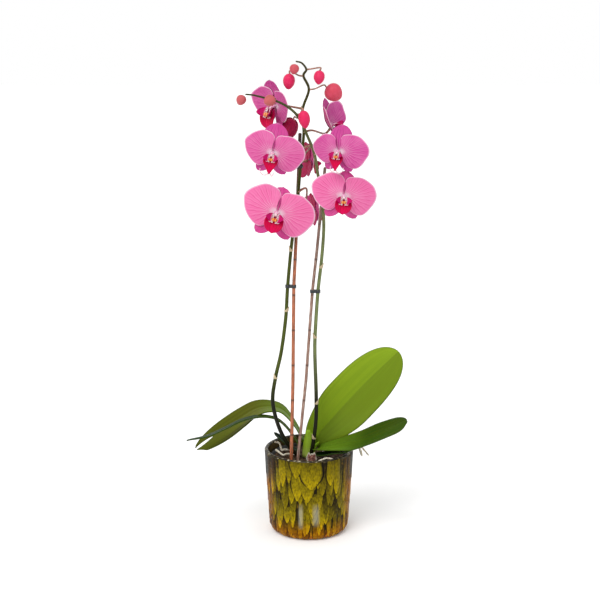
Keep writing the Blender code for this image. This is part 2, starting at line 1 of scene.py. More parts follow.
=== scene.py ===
# %% [markdown]
# # A potted moth orchid
# A moth orchid has thick strap leaves round a short crown, a few pale air roots, and long arching
# flower spikes that growers tie to bamboo canes. This one stands in a black nursery pot inside a
# heavy glazed pot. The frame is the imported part: it is loaded first and never moved. Finer pieces are
# then built in the same places, in metres, with the foot's centre at the origin and the front at -Y.

import math
import random

import bmesh
import bpy
from mathutils import Matrix, Vector, noise


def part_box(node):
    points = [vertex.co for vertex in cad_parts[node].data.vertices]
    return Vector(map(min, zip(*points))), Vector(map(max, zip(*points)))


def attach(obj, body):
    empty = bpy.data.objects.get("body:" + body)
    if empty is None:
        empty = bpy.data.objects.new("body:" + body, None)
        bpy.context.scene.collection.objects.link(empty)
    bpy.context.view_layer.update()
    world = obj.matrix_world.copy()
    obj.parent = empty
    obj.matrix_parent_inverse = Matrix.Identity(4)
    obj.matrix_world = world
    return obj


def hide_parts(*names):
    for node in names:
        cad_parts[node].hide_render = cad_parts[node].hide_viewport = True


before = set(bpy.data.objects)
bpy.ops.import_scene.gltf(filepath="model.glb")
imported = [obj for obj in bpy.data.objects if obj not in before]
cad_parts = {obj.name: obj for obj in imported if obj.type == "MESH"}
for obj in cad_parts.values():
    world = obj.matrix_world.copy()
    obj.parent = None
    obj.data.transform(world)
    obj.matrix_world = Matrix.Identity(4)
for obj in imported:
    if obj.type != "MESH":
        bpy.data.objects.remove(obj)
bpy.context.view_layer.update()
BODY = "root"

# %% [markdown]
# ## Room, light and camera
# A plant is easiest to judge in a plain pale room, so the floor and the sky are both white and join
# without a visible horizon. One broad soft sun from the upper left gives the petals and the pot some
# shape. The camera stands a little above the flowers and looks slightly down.

# %% Floor, light and camera
scene = bpy.context.scene
scene.view_settings.view_transform = "Standard"
scene.world = bpy.data.worlds.new("soft_room")
scene.world.use_nodes = True
room = scene.world.node_tree.nodes["Background"]
room.inputs["Color"].default_value = (1.0, 1.0, 1.0, 1.0)
room.inputs["Strength"].default_value = 1.0

sun = bpy.data.objects.new("soft_sun", bpy.data.lights.new("soft_sun", "SUN"))
sun.data.energy = 1.6
sun.data.angle = math.radians(35)
sun.rotation_euler = (math.radians(42), 0.0, math.radians(-32))
scene.collection.objects.link(sun)

camera = bpy.data.objects.new("camera", bpy.data.cameras.new("camera"))
camera.data.lens = 70.5
camera.data.sensor_width = 36.0
camera.location = (-0.0136, -1.70, 0.704)
camera.rotation_euler = (math.radians(90 - 11.6), 0.0, 0.0)
scene.collection.objects.link(camera)
scene.camera = camera
print("camera", tuple(round(c, 3) for c in camera.location))

# %% [markdown]
# ## A small paint box
# Every finish is a node tree. These helpers keep each recipe short: one adds a node, one makes a
# ramp of colours, one stretches a pattern, and one turns a pattern into small bumps.


# %% Paint helpers
ROOM_GAIN = 0.74  # the room is bright, so every paint is mixed this much darker


def hue(red, green, blue):
    """A colour given as 0 to 255 screen values, in the linear units that shaders use."""
    parts = [c / 255 for c in (red, green, blue)]
    linear = [c / 12.92 if c <= 0.04045 else ((c + 0.055) / 1.055) ** 2.4 for c in parts]
    return (*[c * ROOM_GAIN for c in linear], 1.0)


def paint(name, **values):
    """A new material; values set its shader's own sockets, with underscores for spaces."""
    made = bpy.data.materials.new(name)
    made.use_nodes = True
    shader = made.node_tree.nodes["Principled BSDF"]
    for key, value in values.items():
        shader.inputs[key.replace("_", " ")].default_value = value
    return made


def put(material, kind, inputs, **settings):
    """A node in a material's tree; an input is either a number or another node's output."""
    made = material.node_tree.nodes.new(kind)
    for key, value in settings.items():
        setattr(made, key, value)
    for key, value in inputs.items():
        if isinstance(value, bpy.types.NodeSocket):
            material.node_tree.links.new(value, made.inputs[key])
        else:
            made.inputs[key].default_value = value
    return made


def coordinate(material, which):
    return put(material, "ShaderNodeTexCoord", {}).outputs[which]


def axes(material, vector):
    return put(material, "ShaderNodeSeparateXYZ", {"Vector": vector}).outputs


def stretched(material, vector, scale):
    return put(material, "ShaderNodeMapping", {"Vector": vector, "Scale": scale}).outputs["Vector"]


def cloud(material, vector, scale, detail=3.0):
    """Soft irregular noise, mostly between 0.3 and 0.7."""
    made = put(material, "ShaderNodeTexNoise", {"Vector": vector, "Scale": scale, "Detail": detail})
    return made.outputs[0]


def calc(material, operation, first, second=0.0, third=0.0):
    inputs = {0: first, 1: second, 2: third}
    return put(material, "ShaderNodeMath", inputs, operation=operation).outputs[0]


def span(material, value, low, high):
    """0 at the low end, 1 at the high end, held outside."""
    inputs = {"Value": value, "From Min": low, "From Max": high}
    return put(material, "ShaderNodeMapRange", inputs).outputs["Result"]


def ramp(material, factor, *stops):
    """Colours at positions along a factor, as (position, colour)."""
    made = put(material, "ShaderNodeValToRGB", {"Fac": factor})
    marks = made.color_ramp.elements
    while len(marks) < len(stops):
        marks.new(0.5)
    for mark, (position, colour) in zip(marks, stops):
        mark.position = position
        mark.color = colour
    return made.outputs["Color"]


def mixed(material, factor, under, over):
    made = put(material, "ShaderNodeMix", {0: factor, 6: under, 7: over}, data_type="RGBA")
    return made.outputs[2]


def apply(material, colour=None, roughness=None, height=None, depth=0.0002, strength=0.6):
    """Links patterns to a material's shader: its colour, its roughness and small bumps."""
    shader = material.node_tree.nodes["Principled BSDF"]
    link = material.node_tree.links.new
    if colour:
        link(colour, shader.inputs["Base Color"])
    if roughness:
        link(roughness, shader.inputs["Roughness"])
    if height:
        inputs = {"Height": height, "Distance": depth, "Strength": strength}
        link(put(material, "ShaderNodeBump", inputs).outputs["Normal"], shader.inputs["Normal"])
    return material


floor_paint = paint("floor_paint", Roughness=0.9)
apply(floor_paint, ramp(floor_paint, cloud(floor_paint, coordinate(floor_paint, "Object"), 3.0),
                        (0.0, (0.90, 0.90, 0.90, 1)), (1.0, (0.93, 0.93, 0.93, 1))))
FLOOR_REACH = 30.0
floor_mesh = bpy.data.meshes.new("floor")
corners = [(x, y, 0.0) for x, y in ((-1, -1), (1, -1), (1, 1), (-1, 1))]
floor_mesh.from_pydata([(x * FLOOR_REACH, y * FLOOR_REACH, z) for x, y, z in corners], [], [(0, 1, 2, 3)])
floor_mesh.materials.append(floor_paint)
floor = bpy.data.objects.new("floor", floor_mesh)
scene.collection.objects.link(floor)
print("floor laid,", FLOOR_REACH * 2, "m wide")

# %% [markdown]
# ## Shapes that most of the plant is made of
# Plants are mostly sheets (petals, leaves, bracts) and tubes (stems, canes, roots). A sheet is a grid
# whose corners are placed by a rule; it carries its own grid as UVs, so veins can follow it. A tube
# follows a route of points that each carry a radius.


# %% Sheets, tubes and lumps
plant = bpy.data.collections.new("plant")
scene.collection.children.link(plant)


def smooth_route(points, per_span):
    """Points along a smooth curve through the given ones."""
    ends = [[2 * a - b for a, b in zip(points[0], points[1])]]
    ends += [list(p) for p in points]
    ends += [[2 * a - b for a, b in zip(points[-1], points[-2])]]
    made = []
    for i in range(1, len(ends) - 2):
        for k in range(per_span):
            t = k / per_span
            made.append([
                0.5 * (2 * b + (c - a) * t + (2 * a - 5 * b + 4 * c - d) * t * t
                       + (3 * b - a - 3 * c + d) * t ** 3)
                for a, b, c, d in zip(*ends[i - 1 : i + 3])
            ])
    made.append(list(points[-1]))
    return made


def at_share(route, share):
    """The values at a share of the way along a list of rows."""
    place = min(max(share, 0.0), 1.0) * (len(route) - 1)
    step = min(int(place), len(route) - 2)
    return [a + (b - a) * (place - step) for a, b in zip(route[step], route[step + 1])]


def sheet(columns, rows, corner, slot=0):
    """A grid mesh of its own: corner(u, v) places each corner, and u, v are kept as its UVs."""
    bm = bmesh.new()
    grid = [[bm.verts.new(corner(i / columns, j / rows)) for i in range(columns + 1)]
            for j in range(rows + 1)]
    uvs = bm.loops.layers.uv.new("UVMap")
    for j in range(rows):
        for i in range(columns):
            around = ((i, j), (i + 1, j), (i + 1, j + 1), (i, j + 1))
            face = bm.faces.new([grid[b][a] for a, b in around])
            face.smooth = True
            face.material_index = slot
            for loop, (a, b) in zip(face.loops, around):
                loop[uvs].uv = (a / columns, b / rows)
    bmesh.ops.remove_doubles(bm, verts=bm.verts, dist=2e-6)
    made = bpy.data.meshes.new("sheet")
    bm.to_mesh(made)
    bm.free()
    return made


def tube(route, sides=12, slot=0):
    """A closed round tube along rows of x, y, z, radius; its U runs round it and its V is in metres."""
    points = [Vector(row[:3]) for row in route]
    radii = [row[3] for row in route]
    for end, away in ((0, points[0] - points[1]), (-1, points[-1] - points[-2])):
        away = away.normalized() * radii[end]
        tip, core = [(points[end] + away * 0.5, radii[end] * 0.75)], (points[end] + away * 0.7, 0.0)
        tip = [tip[0], core]
        if end == 0:
            points = [tip[1][0], tip[0][0]] + points
            radii = [tip[1][1], tip[0][1]] + radii
        else:
            points += [tip[0][0], tip[1][0]]
            radii += [tip[0][1], tip[1][1]]
    across = (points[1] - points[0]).orthogonal().normalized()
    lengths = [0.0]
    frames = []
    for i, point in enumerate(points):
        ahead = (points[min(i + 1, len(points) - 1)] - points[max(i - 1, 0)]).normalized()
        across = (across - ahead * across.dot(ahead)).normalized()
        frames.append((across.copy(), ahead.cross(across)))
        if i:
            lengths.append(lengths[-1] + (point - points[i - 1]).length)

    bm = bmesh.new()
    uvs = bm.loops.layers.uv.new("UVMap")
    rings = []
    for point, radius, (right, up) in zip(points, radii, frames):
        turns = [math.tau * k / sides for k in range(sides)]
        rings.append([bm.verts.new(point + (right * math.cos(a) + up * math.sin(a)) * radius) for a in turns])
    for j in range(len(rings) - 1):
        for i in range(sides):
            around = ((i, j), (i + 1, j), (i + 1, j + 1), (i, j + 1))
            face = bm.faces.new([rings[b][a % sides] for a, b in around])
            face.smooth = True
            face.material_index = slot
            for loop, (a, b) in zip(face.loops, around):
                loop[uvs].uv = (a / sides, lengths[b])
    bmesh.ops.remove_doubles(bm, verts=bm.verts, dist=2e-6)
    bmesh.ops.recalc_face_normals(bm, faces=bm.faces)
    made = bpy.data.meshes.new("tube")
    bm.to_mesh(made)
    bm.free()
    return made


def lump(centre, half_axes, matrix=Matrix(), slot=0, shape=None):
    """A closed rounded lump of half axes x, y, z; shape(direction) may swell or pinch it."""
    bm = bmesh.new()
    bmesh.ops.create_uvsphere(bm, u_segments=20, v_segments=14, radius=1.0, calc_uvs=True)
    for vertex in bm.verts:
        grown = shape(vertex.co) if shape else 1.0
        vertex.co = Vector([c * h * grown for c, h in zip(vertex.co, half_axes)]) + Vector(centre)
    bm.transform(matrix)
    for face in bm.faces:
        face.smooth = True
        face.material_index = slot
    bmesh.ops.recalc_face_normals(bm, faces=bm.faces)
    made = bpy.data.meshes.new("lump")
    bm.to_mesh(made)
    bm.free()
    return made


def joined(meshes):
    """Several meshes as one; each is used up."""
    bm = bmesh.new()
    for mesh in meshes:
        bm.from_mesh(mesh)
        bpy.data.meshes.remove(mesh)
    made = bpy.data.meshes.new("joined")
    bm.to_mesh(made)
    bm.free()
    return made


def finished(name, mesh, finishes, slot, *nodes, thickness=0.0, tone=None):
    """A mesh as a named piece that rides on the body and may stand for some of the frame's nodes."""
    mesh.name = name
    for finish in finishes:
        if finish:
            mesh.materials.append(finish)
    if tone is not None:
        layer = mesh.attributes.new("tone", "FLOAT", "POINT")
        layer.data.foreach_set("value", [tone] * len(mesh.vertices))
    made = bpy.data.objects.new(name, mesh)
    plant.objects.link(made)
    if thickness:
        wall = made.modifiers.new("thickness", "SOLIDIFY")
        wall.thickness = thickness
        wall.offset = 0.0
        wall.material_offset = 1
    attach(made, BODY)
    if nodes:
        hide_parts(*nodes)
    return made


print("helpers ready")

# %% [markdown]
# ## The glazed pot: its body
# The pot is thrown clay, so its body is one profile turned about the upright axis: down the inside, over a round lip,
# down the wall and round a soft heel to the flat foot. The body under the relief is nearly black, the lip is dark with
# a few cream spots of painted highlight, and the inside is brown olive at the top, darkened lower down by painted
# shade.

# %% Pot body
pot_low, pot_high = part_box("pot")
POT_HEIGHT = pot_high[2]
RIM = pot_high[0]  # radius of the lip
WAIST = 0.0595  # radius where the wall meets the rounded heel
HEEL = 0.0115
WALL = 0.0055
FLOOR_CLAY = 0.007
TURN_STEPS = 128


def arc(centre, radius, start, end, count):
    """Points on an arc, with angles in degrees."""
    angles = [math.radians(start + (end - start) * i / count) for i in range(count + 1)]
    return [(centre[0] + radius * math.cos(a), centre[1] + radius * math.sin(a)) for a in angles]


def turned(profile, pick_slot, steps=TURN_STEPS):
    """A profile of (radius, height) points turned about Z; pick_slot(radius, height, index) paints it."""
    bm = bmesh.new()
    uvs = bm.loops.layers.uv.new("UVMap")
    rings = []
    for radius, height in profile:
        rings.append([bm.verts.new((radius * math.sin(math.tau * k / steps),
                                    -radius * math.cos(math.tau * k / steps), height)) for k in range(steps)])
    for j in range(len(rings) - 1):
        middle = [(a + b) / 2 for a, b in zip(profile[j], profile[j + 1])]
        for i in range(steps):
            around = ((i, j), (i + 1, j), (i + 1, j + 1), (i, j + 1))
            face = bm.faces.new([rings[b][a % steps] for a, b in around])
            face.smooth = True
            face.material_index = pick_slot(*middle, j)
            for loop, (a, b) in zip(face.loops, around):
                loop[uvs].uv = (a / steps, b / len(profile))
    bmesh.ops.remove_doubles(bm, verts=bm.verts, dist=1e-6)
    bmesh.ops.recalc_face_normals(bm, faces=bm.faces)
    made = bpy.data.meshes.new("turned")
    bm.to_mesh(made)
    bm.free()
    return made


half_wall = WALL / 2
inner_waist, inner_heel = WAIST - WALL, HEEL - 0.004
inside = [(0.0, FLOOR_CLAY)]
inside += arc((inner_waist - inner_heel, FLOOR_CLAY + inner_heel), inner_heel, -90, 0, 6)
lip = arc((RIM - half_wall, POT_HEIGHT - half_wall), half_wall, 180, 0, 12)
outside = arc((WAIST - HEEL, HEEL), HEEL, 0, -90, 10)
foot = [(WAIST - HEEL - 0.006, 0.0), (WAIST - HEEL - 0.007, 0.0006), (0.0, 0.0006)]
pot_profile = inside + lip + outside + foot
LIP_ENDS = len(inside), len(inside) + len(lip) - 2


def pot_slot(radius, height, index):
    """0 under the relief, 1 the lip, 2 the inside, 3 the bare foot."""
    if index < LIP_ENDS[0]:
        return 2
    if index <= LIP_ENDS[1]:
        return 1
    return 3 if height < 0.001 else 0


groove_glaze = paint("groove_glaze", Roughness=0.4, Specular_IOR_Level=0.08)
place = coordinate(groove_glaze, "Object")
mottle = cloud(groove_glaze, place, 160.0)
where = axes(groove_glaze, place)
# Painted rim light: the pot's left and right sides, as seen from the front, are painted amber lower down. The colour
# also turns amber towards the foot.
painted_flank = span(groove_glaze, calc(groove_glaze, "ABSOLUTE", where["X"]), 0.045, 0.058)
flank_light_and_foot_amber = calc(groove_glaze, "MULTIPLY", painted_flank, span(groove_glaze, where["Z"], 0.094, 0.080))
flank_light_and_foot_amber = calc(groove_glaze, "MAXIMUM", flank_light_and_foot_amber, span(groove_glaze, where["Z"], 0.018, 0.006))
pooled = ramp(groove_glaze, mottle, (0.30, hue(20, 17, 4)), (0.50, hue(48, 38, 4)), (0.68, hue(104, 78, 6)))
amber_and_flank_light = ramp(groove_glaze, mottle, (0.30, hue(110, 54, 0)), (0.50, hue(172, 96, 0)), (0.68, hue(220, 150, 8)))
apply(groove_glaze, mixed(groove_glaze, flank_light_and_foot_amber, pooled, amber_and_flank_light), height=mottle, depth=0.0006)

lip_glaze = paint("lip_glaze", Roughness=0.3, Specular_IOR_Level=0.2)
place = coordinate(lip_glaze, "Object")
# Painted highlight: cream spots on the dark lip stand for broken glints of light on the glossy rim.
painted_rim_glints = cloud(lip_glaze, place, 210.0, 4.0)
apply(lip_glaze, ramp(lip_glaze, painted_rim_glints, (0.40, hue(28, 24, 20)), (0.54, hue(70, 58, 30)),
                      (0.64, hue(170, 160, 130)), (0.74, hue(226, 222, 205))), height=painted_rim_glints, depth=0.0003)

inner_glaze = paint("inner_glaze", Roughness=0.5, Specular_IOR_Level=0.2)
place = coordinate(inner_glaze, "Object")
rise = axes(inner_glaze, place)["Z"]
# Painted shade: the inside wall darkens to near black lower down, towards the bark.
inside_shade_fade = span(inner_glaze, rise, 0.100, 0.127)
mottle = cloud(inner_glaze, place, 190.0, 4.0)
apply(inner_glaze, mixed(inner_glaze, calc(inner_glaze, "MULTIPLY", inside_shade_fade, mottle),
                         hue(14, 12, 9), hue(150, 120, 50)), height=mottle, depth=0.0005)

bare_clay = paint("bare_clay", Roughness=0.85)
grit = cloud(bare_clay, coordinate(bare_clay, "Object"), 900.0, 5.0)
apply(bare_clay, ramp(bare_clay, grit, (0.35, hue(150, 104, 66)), (0.65, hue(196, 156, 110))),
      height=grit, depth=0.0003)

finished("glazed_pot", turned(pot_profile, pot_slot), (groove_glaze, lip_glaze, inner_glaze, bare_clay),
         "glaze", "pot")
print("pot:", round(POT_HEIGHT * 1000, 1), "mm high,", round(RIM * 2000, 1), "mm across")

# %% [markdown]
# ## The pot's relief: overlapping scales
# The wall carries long pointed scales that hang down over each other like feathers. Modelling each
# one by hand would be slow and too even, so one scale is made once and Geometry Nodes lays it out as
# a flat sheet of staggered rows, each copy a little longer, wider or shifted. The sheet is then
# rolled round the wall. Each copy keeps a random tone, so the glaze differs from scale to scale.


# %% One scale
def wall_radius(height):
    """The outer radius of the pot's wall at a height."""
    if height < HEEL:
        return WAIST - HEEL + math.sqrt(max(0.0, HEEL ** 2 - (HEEL - height) ** 2))
    share = (height - HEEL) / (POT_HEIGHT - half_wall - HEEL)
    return WAIST + (RIM - WAIST) * min(share, 1.0)


def on_wall(turn, height, lift):
    """A point on the wall; turn is in radians from the front, lift stands off the wall."""
    radius = wall_radius(height) + lift
    return Vector((radius * math.sin(turn), -radius * math.cos(turn), height))


def scale_half_width(v, shoulder=0.45):
    """Half width of a scale, as a share: parallel sides, then a curved taper to the point."""
    if v < shoulder:
        return 0.86 + 0.14 * v / shoulder
    return max(0.0, 1 - ((v - shoulder) / (1 - shoulder)) ** 1.9)


def scale_corner(u, v, shoulder=0.45):
    """A scale one unit wide and long that hangs down -Z and stands out along Y."""
    across = 2 * u - 1
    dome = 0.35 + 0.65 * (1 - across * across)
    return Vector((across * scale_half_width(v, shoulder) / 2, (0.25 + 0.75 * v) * dome, -v))


scale_mesh = sheet(6, 9, scale_corner)
scale_maker = bpy.data.objects.new("one_scale", scale_mesh)
print("one scale:", len(scale_mesh.polygons), "faces")

# %% [markdown]
# The node tree below does the laying out. Its inputs are the numbers that a potter would choose: how
# many columns and rows, how wide and long a scale is, how far it stands out, and how uneven the hand
# is. The last two nodes make real mesh of the copies and give them the glaze.


# %% A node tree that lays out the scales
def new_tree(name, inputs):
    """An empty Geometry Nodes tree with named inputs, and its input and output nodes."""
    tree = bpy.data.node_groups.new(name, "GeometryNodeTree")
    tree.interface.new_socket(name="Geometry", in_out="OUTPUT", socket_type="NodeSocketGeometry")
    for key, kind in inputs.items():
        tree.interface.new_socket(name=key, in_out="INPUT", socket_type=f"NodeSocket{kind}")
    return tree, tree.nodes.new("NodeGroupInput").outputs, tree.nodes.new("NodeGroupOutput")


def step(tree, kind, inputs, **settings):
    """A node in a tree; an input is a number or an output, and its name is looked up among live sockets."""
    made = tree.nodes.new(kind)
    for key, value in settings.items():
        setattr(made, key, value)
    for key, value in inputs.items():
        socket = made.inputs[key] if isinstance(key, int) else next(
            s for s in made.inputs if s.name == key and s.enabled)
        if isinstance(value, bpy.types.NodeSocket):
            tree.links.new(value, socket)
        else:
            socket.default_value = value
    return next(s for s in made.outputs if s.enabled)


def random_between(tree, low, high, seed, extra):
    """A random number for each point, between two others."""
    number = step(tree, "ShaderNodeMath", {0: seed, 1: extra}, operation="ADD")
    return step(tree, "FunctionNodeRandomValue", {"Min": low, "Max": high, "Seed": number}, data_type="FLOAT")


def run_tree(tree, values, host_mesh=None):
    """Runs a tree on a fresh object and returns the plain mesh that it makes."""
    host = bpy.data.objects.new("host", host_mesh or bpy.data.meshes.new("host"))
    plant.objects.link(host)
    modifier = host.modifiers.new("layout", "NODES")
    modifier.node_group = tree
    for item in tree.interface.items_tree:
        if item.in_out == "INPUT" and item.name in values:
            modifier[item.identifier] = values[item.name]
    bpy.context.view_layer.update()
    graph = bpy.context.evaluated_depsgraph_get()
    made = bpy.data.meshes.new_from_object(host.evaluated_get(graph))
    host.modifiers.clear()
    bpy.data.objects.remove(host, do_unlink=True)
    return made


sizes = {"Scale": "Object", "Columns": "Int", "Rows": "Int", "Pitch": "Float", "Drop": "Float",
         "Width": "Float", "Length": "Float", "Stand out": "Float", "Top": "Float",
         "Unevenness": "Float", "Seed": "Int", "Glaze": "Material"}
scales_tree, given, result = new_tree("lay_scales", sizes)


def times(a, b):
    return step(scales_tree, "ShaderNodeMath", {0: a, 1: b}, operation="MULTIPLY")


def plus(a, b):
    return step(scales_tree, "ShaderNodeMath", {0: a, 1: b}, operation="ADD")


index = step(scales_tree, "GeometryNodeInputIndex", {})
row = step(scales_tree, "ShaderNodeMath", {0: index, 1: given["Rows"]}, operation="FLOORED_MODULO")
column = step(scales_tree, "ShaderNodeMath", {
    0: step(scales_tree, "ShaderNodeMath", {0: index, 1: given["Rows"]}, operation="DIVIDE")}, operation="FLOOR")
stagger = times(step(scales_tree, "ShaderNodeMath", {0: row, 1: 2.0}, operation="FLOORED_MODULO"), 0.5)
slip_x = times(random_between(scales_tree, -0.5, 0.5, given["Seed"], 1), given["Unevenness"])
slip_z = times(random_between(scales_tree, -1.0, 1.0, given["Seed"], 2), given["Unevenness"])
arc_place = times(plus(plus(column, stagger), slip_x), given["Pitch"])
drop_place = times(plus(row, slip_z), given["Drop"])
height = step(scales_tree, "ShaderNodeMath", {0: given["Top"], 1: drop_place}, operation="SUBTRACT")
spot = step(scales_tree, "ShaderNodeCombineXYZ", {"X": arc_place, "Z": height})
points = step(scales_tree, "GeometryNodeMeshGrid", {"Vertices X": given["Columns"], "Vertices Y": given["Rows"]})
points = step(scales_tree, "GeometryNodeSetPosition", {"Geometry": points, "Position": spot})
one = scales_tree.nodes.new("GeometryNodeObjectInfo")
scales_tree.links.new(given["Scale"], one.inputs["Object"])
size = step(scales_tree, "ShaderNodeCombineXYZ", {
    "X": times(given["Width"], random_between(scales_tree, 0.65, 1.15, given["Seed"], 3)),
    "Y": given["Stand out"],
    "Z": times(given["Length"], random_between(scales_tree, 0.70, 1.35, given["Seed"], 4))})
copies = step(scales_tree, "GeometryNodeInstanceOnPoints", {
    "Points": points, "Instance": one.outputs["Geometry"], "Scale": size})
copies = step(scales_tree, "GeometryNodeStoreNamedAttribute", {
    "Geometry": copies, "Name": "tone", "Value": random_between(scales_tree, 0.0, 1.0, given["Seed"], 5)},
    data_type="FLOAT", domain="INSTANCE")
solid = step(scales_tree, "GeometryNodeRealizeInstances", {"Geometry": copies})
painted = step(scales_tree, "GeometryNodeSetMaterial", {"Geometry": solid, "Material": given["Glaze"]})
scales_tree.links.new(painted, result.inputs["Geometry"])
print("layout tree:", len(scales_tree.nodes), "nodes")

# %% [markdown]
# ## The pot's glaze
# Honey-olive glaze runs off the raised parts and pools dark in the grooves. On each scale the colour goes from dark
# olive at the top to bright yellow at the point, with fine streaks along it and a dark line round its edge. The two
# sides of the pot, as seen from the front, carry painted light and shade: painted shade nearly black high up and a
# painted amber rim light lower down, and the colour also turns amber towards the foot. Two pale streaks on the front
# are painted highlights.


# %% Glaze for the scales
PAINTED_HIGHLIGHT_STREAKS = [(-0.0126, 0.0045, 0.022, 0.058), (0.0099, 0.0065, 0.026, 0.058)]  # painted highlights, two pale streaks on the front for reflections of the soft light: place, half width, span


def scale_glaze(name, brightness):
    made = paint(name, Roughness=0.30, Specular_IOR_Level=0.04)
    grid = axes(made, coordinate(made, "UV"))
    place = coordinate(made, "Object")
    where = axes(made, place)
    tone = put(made, "ShaderNodeAttribute", {}, attribute_name="tone").outputs["Fac"]
    edge = calc(made, "ABSOLUTE", calc(made, "MULTIPLY_ADD", grid["X"], 2.0, -1.0))
    streaks = cloud(made, stretched(made, place, (1.0, 1.0, 0.12)), 1500.0, 3.0)
    mottle = cloud(made, place, 260.0, 4.0)
    light = calc(made, "ADD", calc(made, "MULTIPLY", grid["Y"], 0.46), calc(made, "MULTIPLY", tone, 0.40))
    light = calc(made, "ADD", light, calc(made, "MULTIPLY_ADD", mottle, 0.45, brightness - 0.23))
    olive = ramp(made, light, (0.08, hue(44, 36, 6)), (0.30, hue(100, 88, 8)), (0.54, hue(150, 132, 10)),
                 (0.80, hue(204, 176, 8)), (0.97, hue(252, 224, 20)))
    amber = ramp(made, light, (0.08, hue(100, 48, 0)), (0.42, hue(186, 110, 0)), (0.82, hue(252, 180, 8)))
    flank_shade_colour = ramp(made, light, (0.10, hue(14, 18, 10)), (0.60, hue(44, 48, 20)), (0.95, hue(96, 92, 28)))
    # Painted light and shade on the pot's left and right sides, as seen from the front: an amber rim light lower down
    # and near-black shade high up. The scales also turn amber towards the foot.
    painted_flank = span(made, calc(made, "ABSOLUTE", where["X"]), 0.050, 0.063)
    low = span(made, where["Z"], 0.034, 0.010)
    flank_light_and_foot_amber = calc(made, "MAXIMUM", painted_flank, calc(made, "MULTIPLY", low, 0.75))
    # Painted shade: the high part of each side is turned near black.
    high = calc(made, "MULTIPLY", span(made, where["Z"], 0.078, 0.094), painted_flank)
    colour = mixed(made, flank_light_and_foot_amber, olive, amber)
    colour = mixed(made, high, colour, flank_shade_colour)
    dark_streak = span(made, streaks, 0.54, 0.40)
    colour = mixed(made, calc(made, "MULTIPLY", dark_streak, 0.55), colour, hue(34, 24, 8))
    rim_line = calc(made, "MAXIMUM", span(made, edge, 0.72, 0.90), span(made, grid["Y"], 0.95, 0.98))
    colour = mixed(made, rim_line, colour, hue(20, 15, 8))
    # Painted highlight: two pale streaks low on the front of the pot stand for reflections of the soft light in the
    # glaze.
    for across, half, bottom, top in PAINTED_HIGHLIGHT_STREAKS:
        aside = calc(made, "ABSOLUTE", calc(made, "SUBTRACT", where["X"], across))
        highlight_patch = calc(made, "MULTIPLY", span(made, aside, half, half * 0.3), span(made, where["Y"], -0.03, -0.05))
        highlight_patch = calc(made, "MULTIPLY", highlight_patch, span(made, where["Z"], bottom - 0.004, bottom + 0.006))
        highlight_patch = calc(made, "MULTIPLY", highlight_patch, span(made, where["Z"], top + 0.004, top - 0.010))
        colour = mixed(made, calc(made, "MULTIPLY", highlight_patch, 0.62), colour, hue(176, 172, 150))
    height = calc(made, "MULTIPLY_ADD", streaks, 0.8, mottle)
    return apply(made, colour, height=height, depth=0.0007, strength=0.8)


relief_glaze = scale_glaze("relief_glaze", -0.03)
COLUMNS, ROWS = 27, 8
PITCH = math.tau * RIM / COLUMNS
flat_scales = run_tree(scales_tree, {
    "Scale": scale_maker, "Columns": COLUMNS, "Rows": ROWS, "Pitch": PITCH, "Drop": 0.0145,
    "Width": PITCH * 0.98, "Length": 0.038, "Stand out": 0.0010, "Top": POT_HEIGHT - 0.0015,
    "Unevenness": 0.55, "Seed": 11, "Glaze": relief_glaze})


def rolled(mesh):
    """Rolls a flat layout of scales round the pot's wall; X is measured along the lip."""
    for vertex in mesh.vertices:
        x, lift, height = vertex.co
        vertex.co = on_wall(x / RIM, min(max(height, 0.0016), POT_HEIGHT - half_wall * 0.6), lift)
    return mesh


def backed(mesh, depth=0.0006):
    """Closes each open sheet with a second face a little behind it."""
    host = bpy.data.objects.new("host", mesh)
    plant.objects.link(host)
    wall = host.modifiers.new("thickness", "SOLIDIFY")
    wall.thickness = depth
    bpy.context.view_layer.update()
    graph = bpy.context.evaluated_depsgraph_get()
    made = bpy.data.meshes.new_from_object(host.evaluated_get(graph))
    bpy.data.objects.remove(host, do_unlink=True)
    return made


small_scales = rolled(flat_scales)
finished("pot_scales", small_scales, (), "glaze")
print("scales:", COLUMNS * ROWS, "copies,", len(small_scales.polygons), "faces")

# %% [markdown]
# ## Broad scales at the front
# A few much broader scales overlap the others at the front, like a collar. They are the same scale,
# only wider and denser, each given by its place round the lip, its top, its width and its length.

# %% Broad front scales
BROAD_SCALES = {  # turn round the pot in degrees, top height, width, length, stand out, shoulder
    "scale_front_left": (-17.0, 0.1262, 0.0250, 0.0270, 0.0026, 0.05),
    "scale_front_middle": (2.5, 0.1262, 0.0400, 0.0440, 0.0030, 0.40),
    "scale_under_middle": (-2.5, 0.0980, 0.0250, 0.0360, 0.0021, 0.40),
    "scale_low_middle": (4.5, 0.0760, 0.0200, 0.0400, 0.0018, 0.35),
    "scale_left_long": (-16.0, 0.1130, 0.0230, 0.0500, 0.0018, 0.45),
    "scale_right_upper": (28.5, 0.1262, 0.0170, 0.0400, 0.0022, 0.55),
    "scale_right_long": (38.5, 0.1262, 0.0150, 0.0560, 0.0020, 0.60),
}
broad_glaze = scale_glaze("broad_glaze", 0.10)
for name, (turn, top, width, length, stand, shoulder) in BROAD_SCALES.items():
    def corner(u, v):
        x, lift, z = scale_corner(u, v, shoulder)
        keel = 0.0004 * math.exp(-((u - 0.5) / 0.06) ** 2) * (1 - v)
        return on_wall(math.radians(turn) + x * width / RIM, top + z * length, lift * stand + keel)

    finished(name, sheet(14, 16, corner), (broad_glaze,), "glaze", tone=0.55)
print("broad scales:", len(BROAD_SCALES))

# %% [markdown]
# ## The nursery pot and the bark
# The plant grows in a thin black plastic pot, which shows only as a dark rim. It is filled with
# chips of bark: a lumpy bed made as a displaced disc, and a few hundred loose chips that Geometry
# Nodes scatters on it, each one of a dozen faces, turned and sized at random.

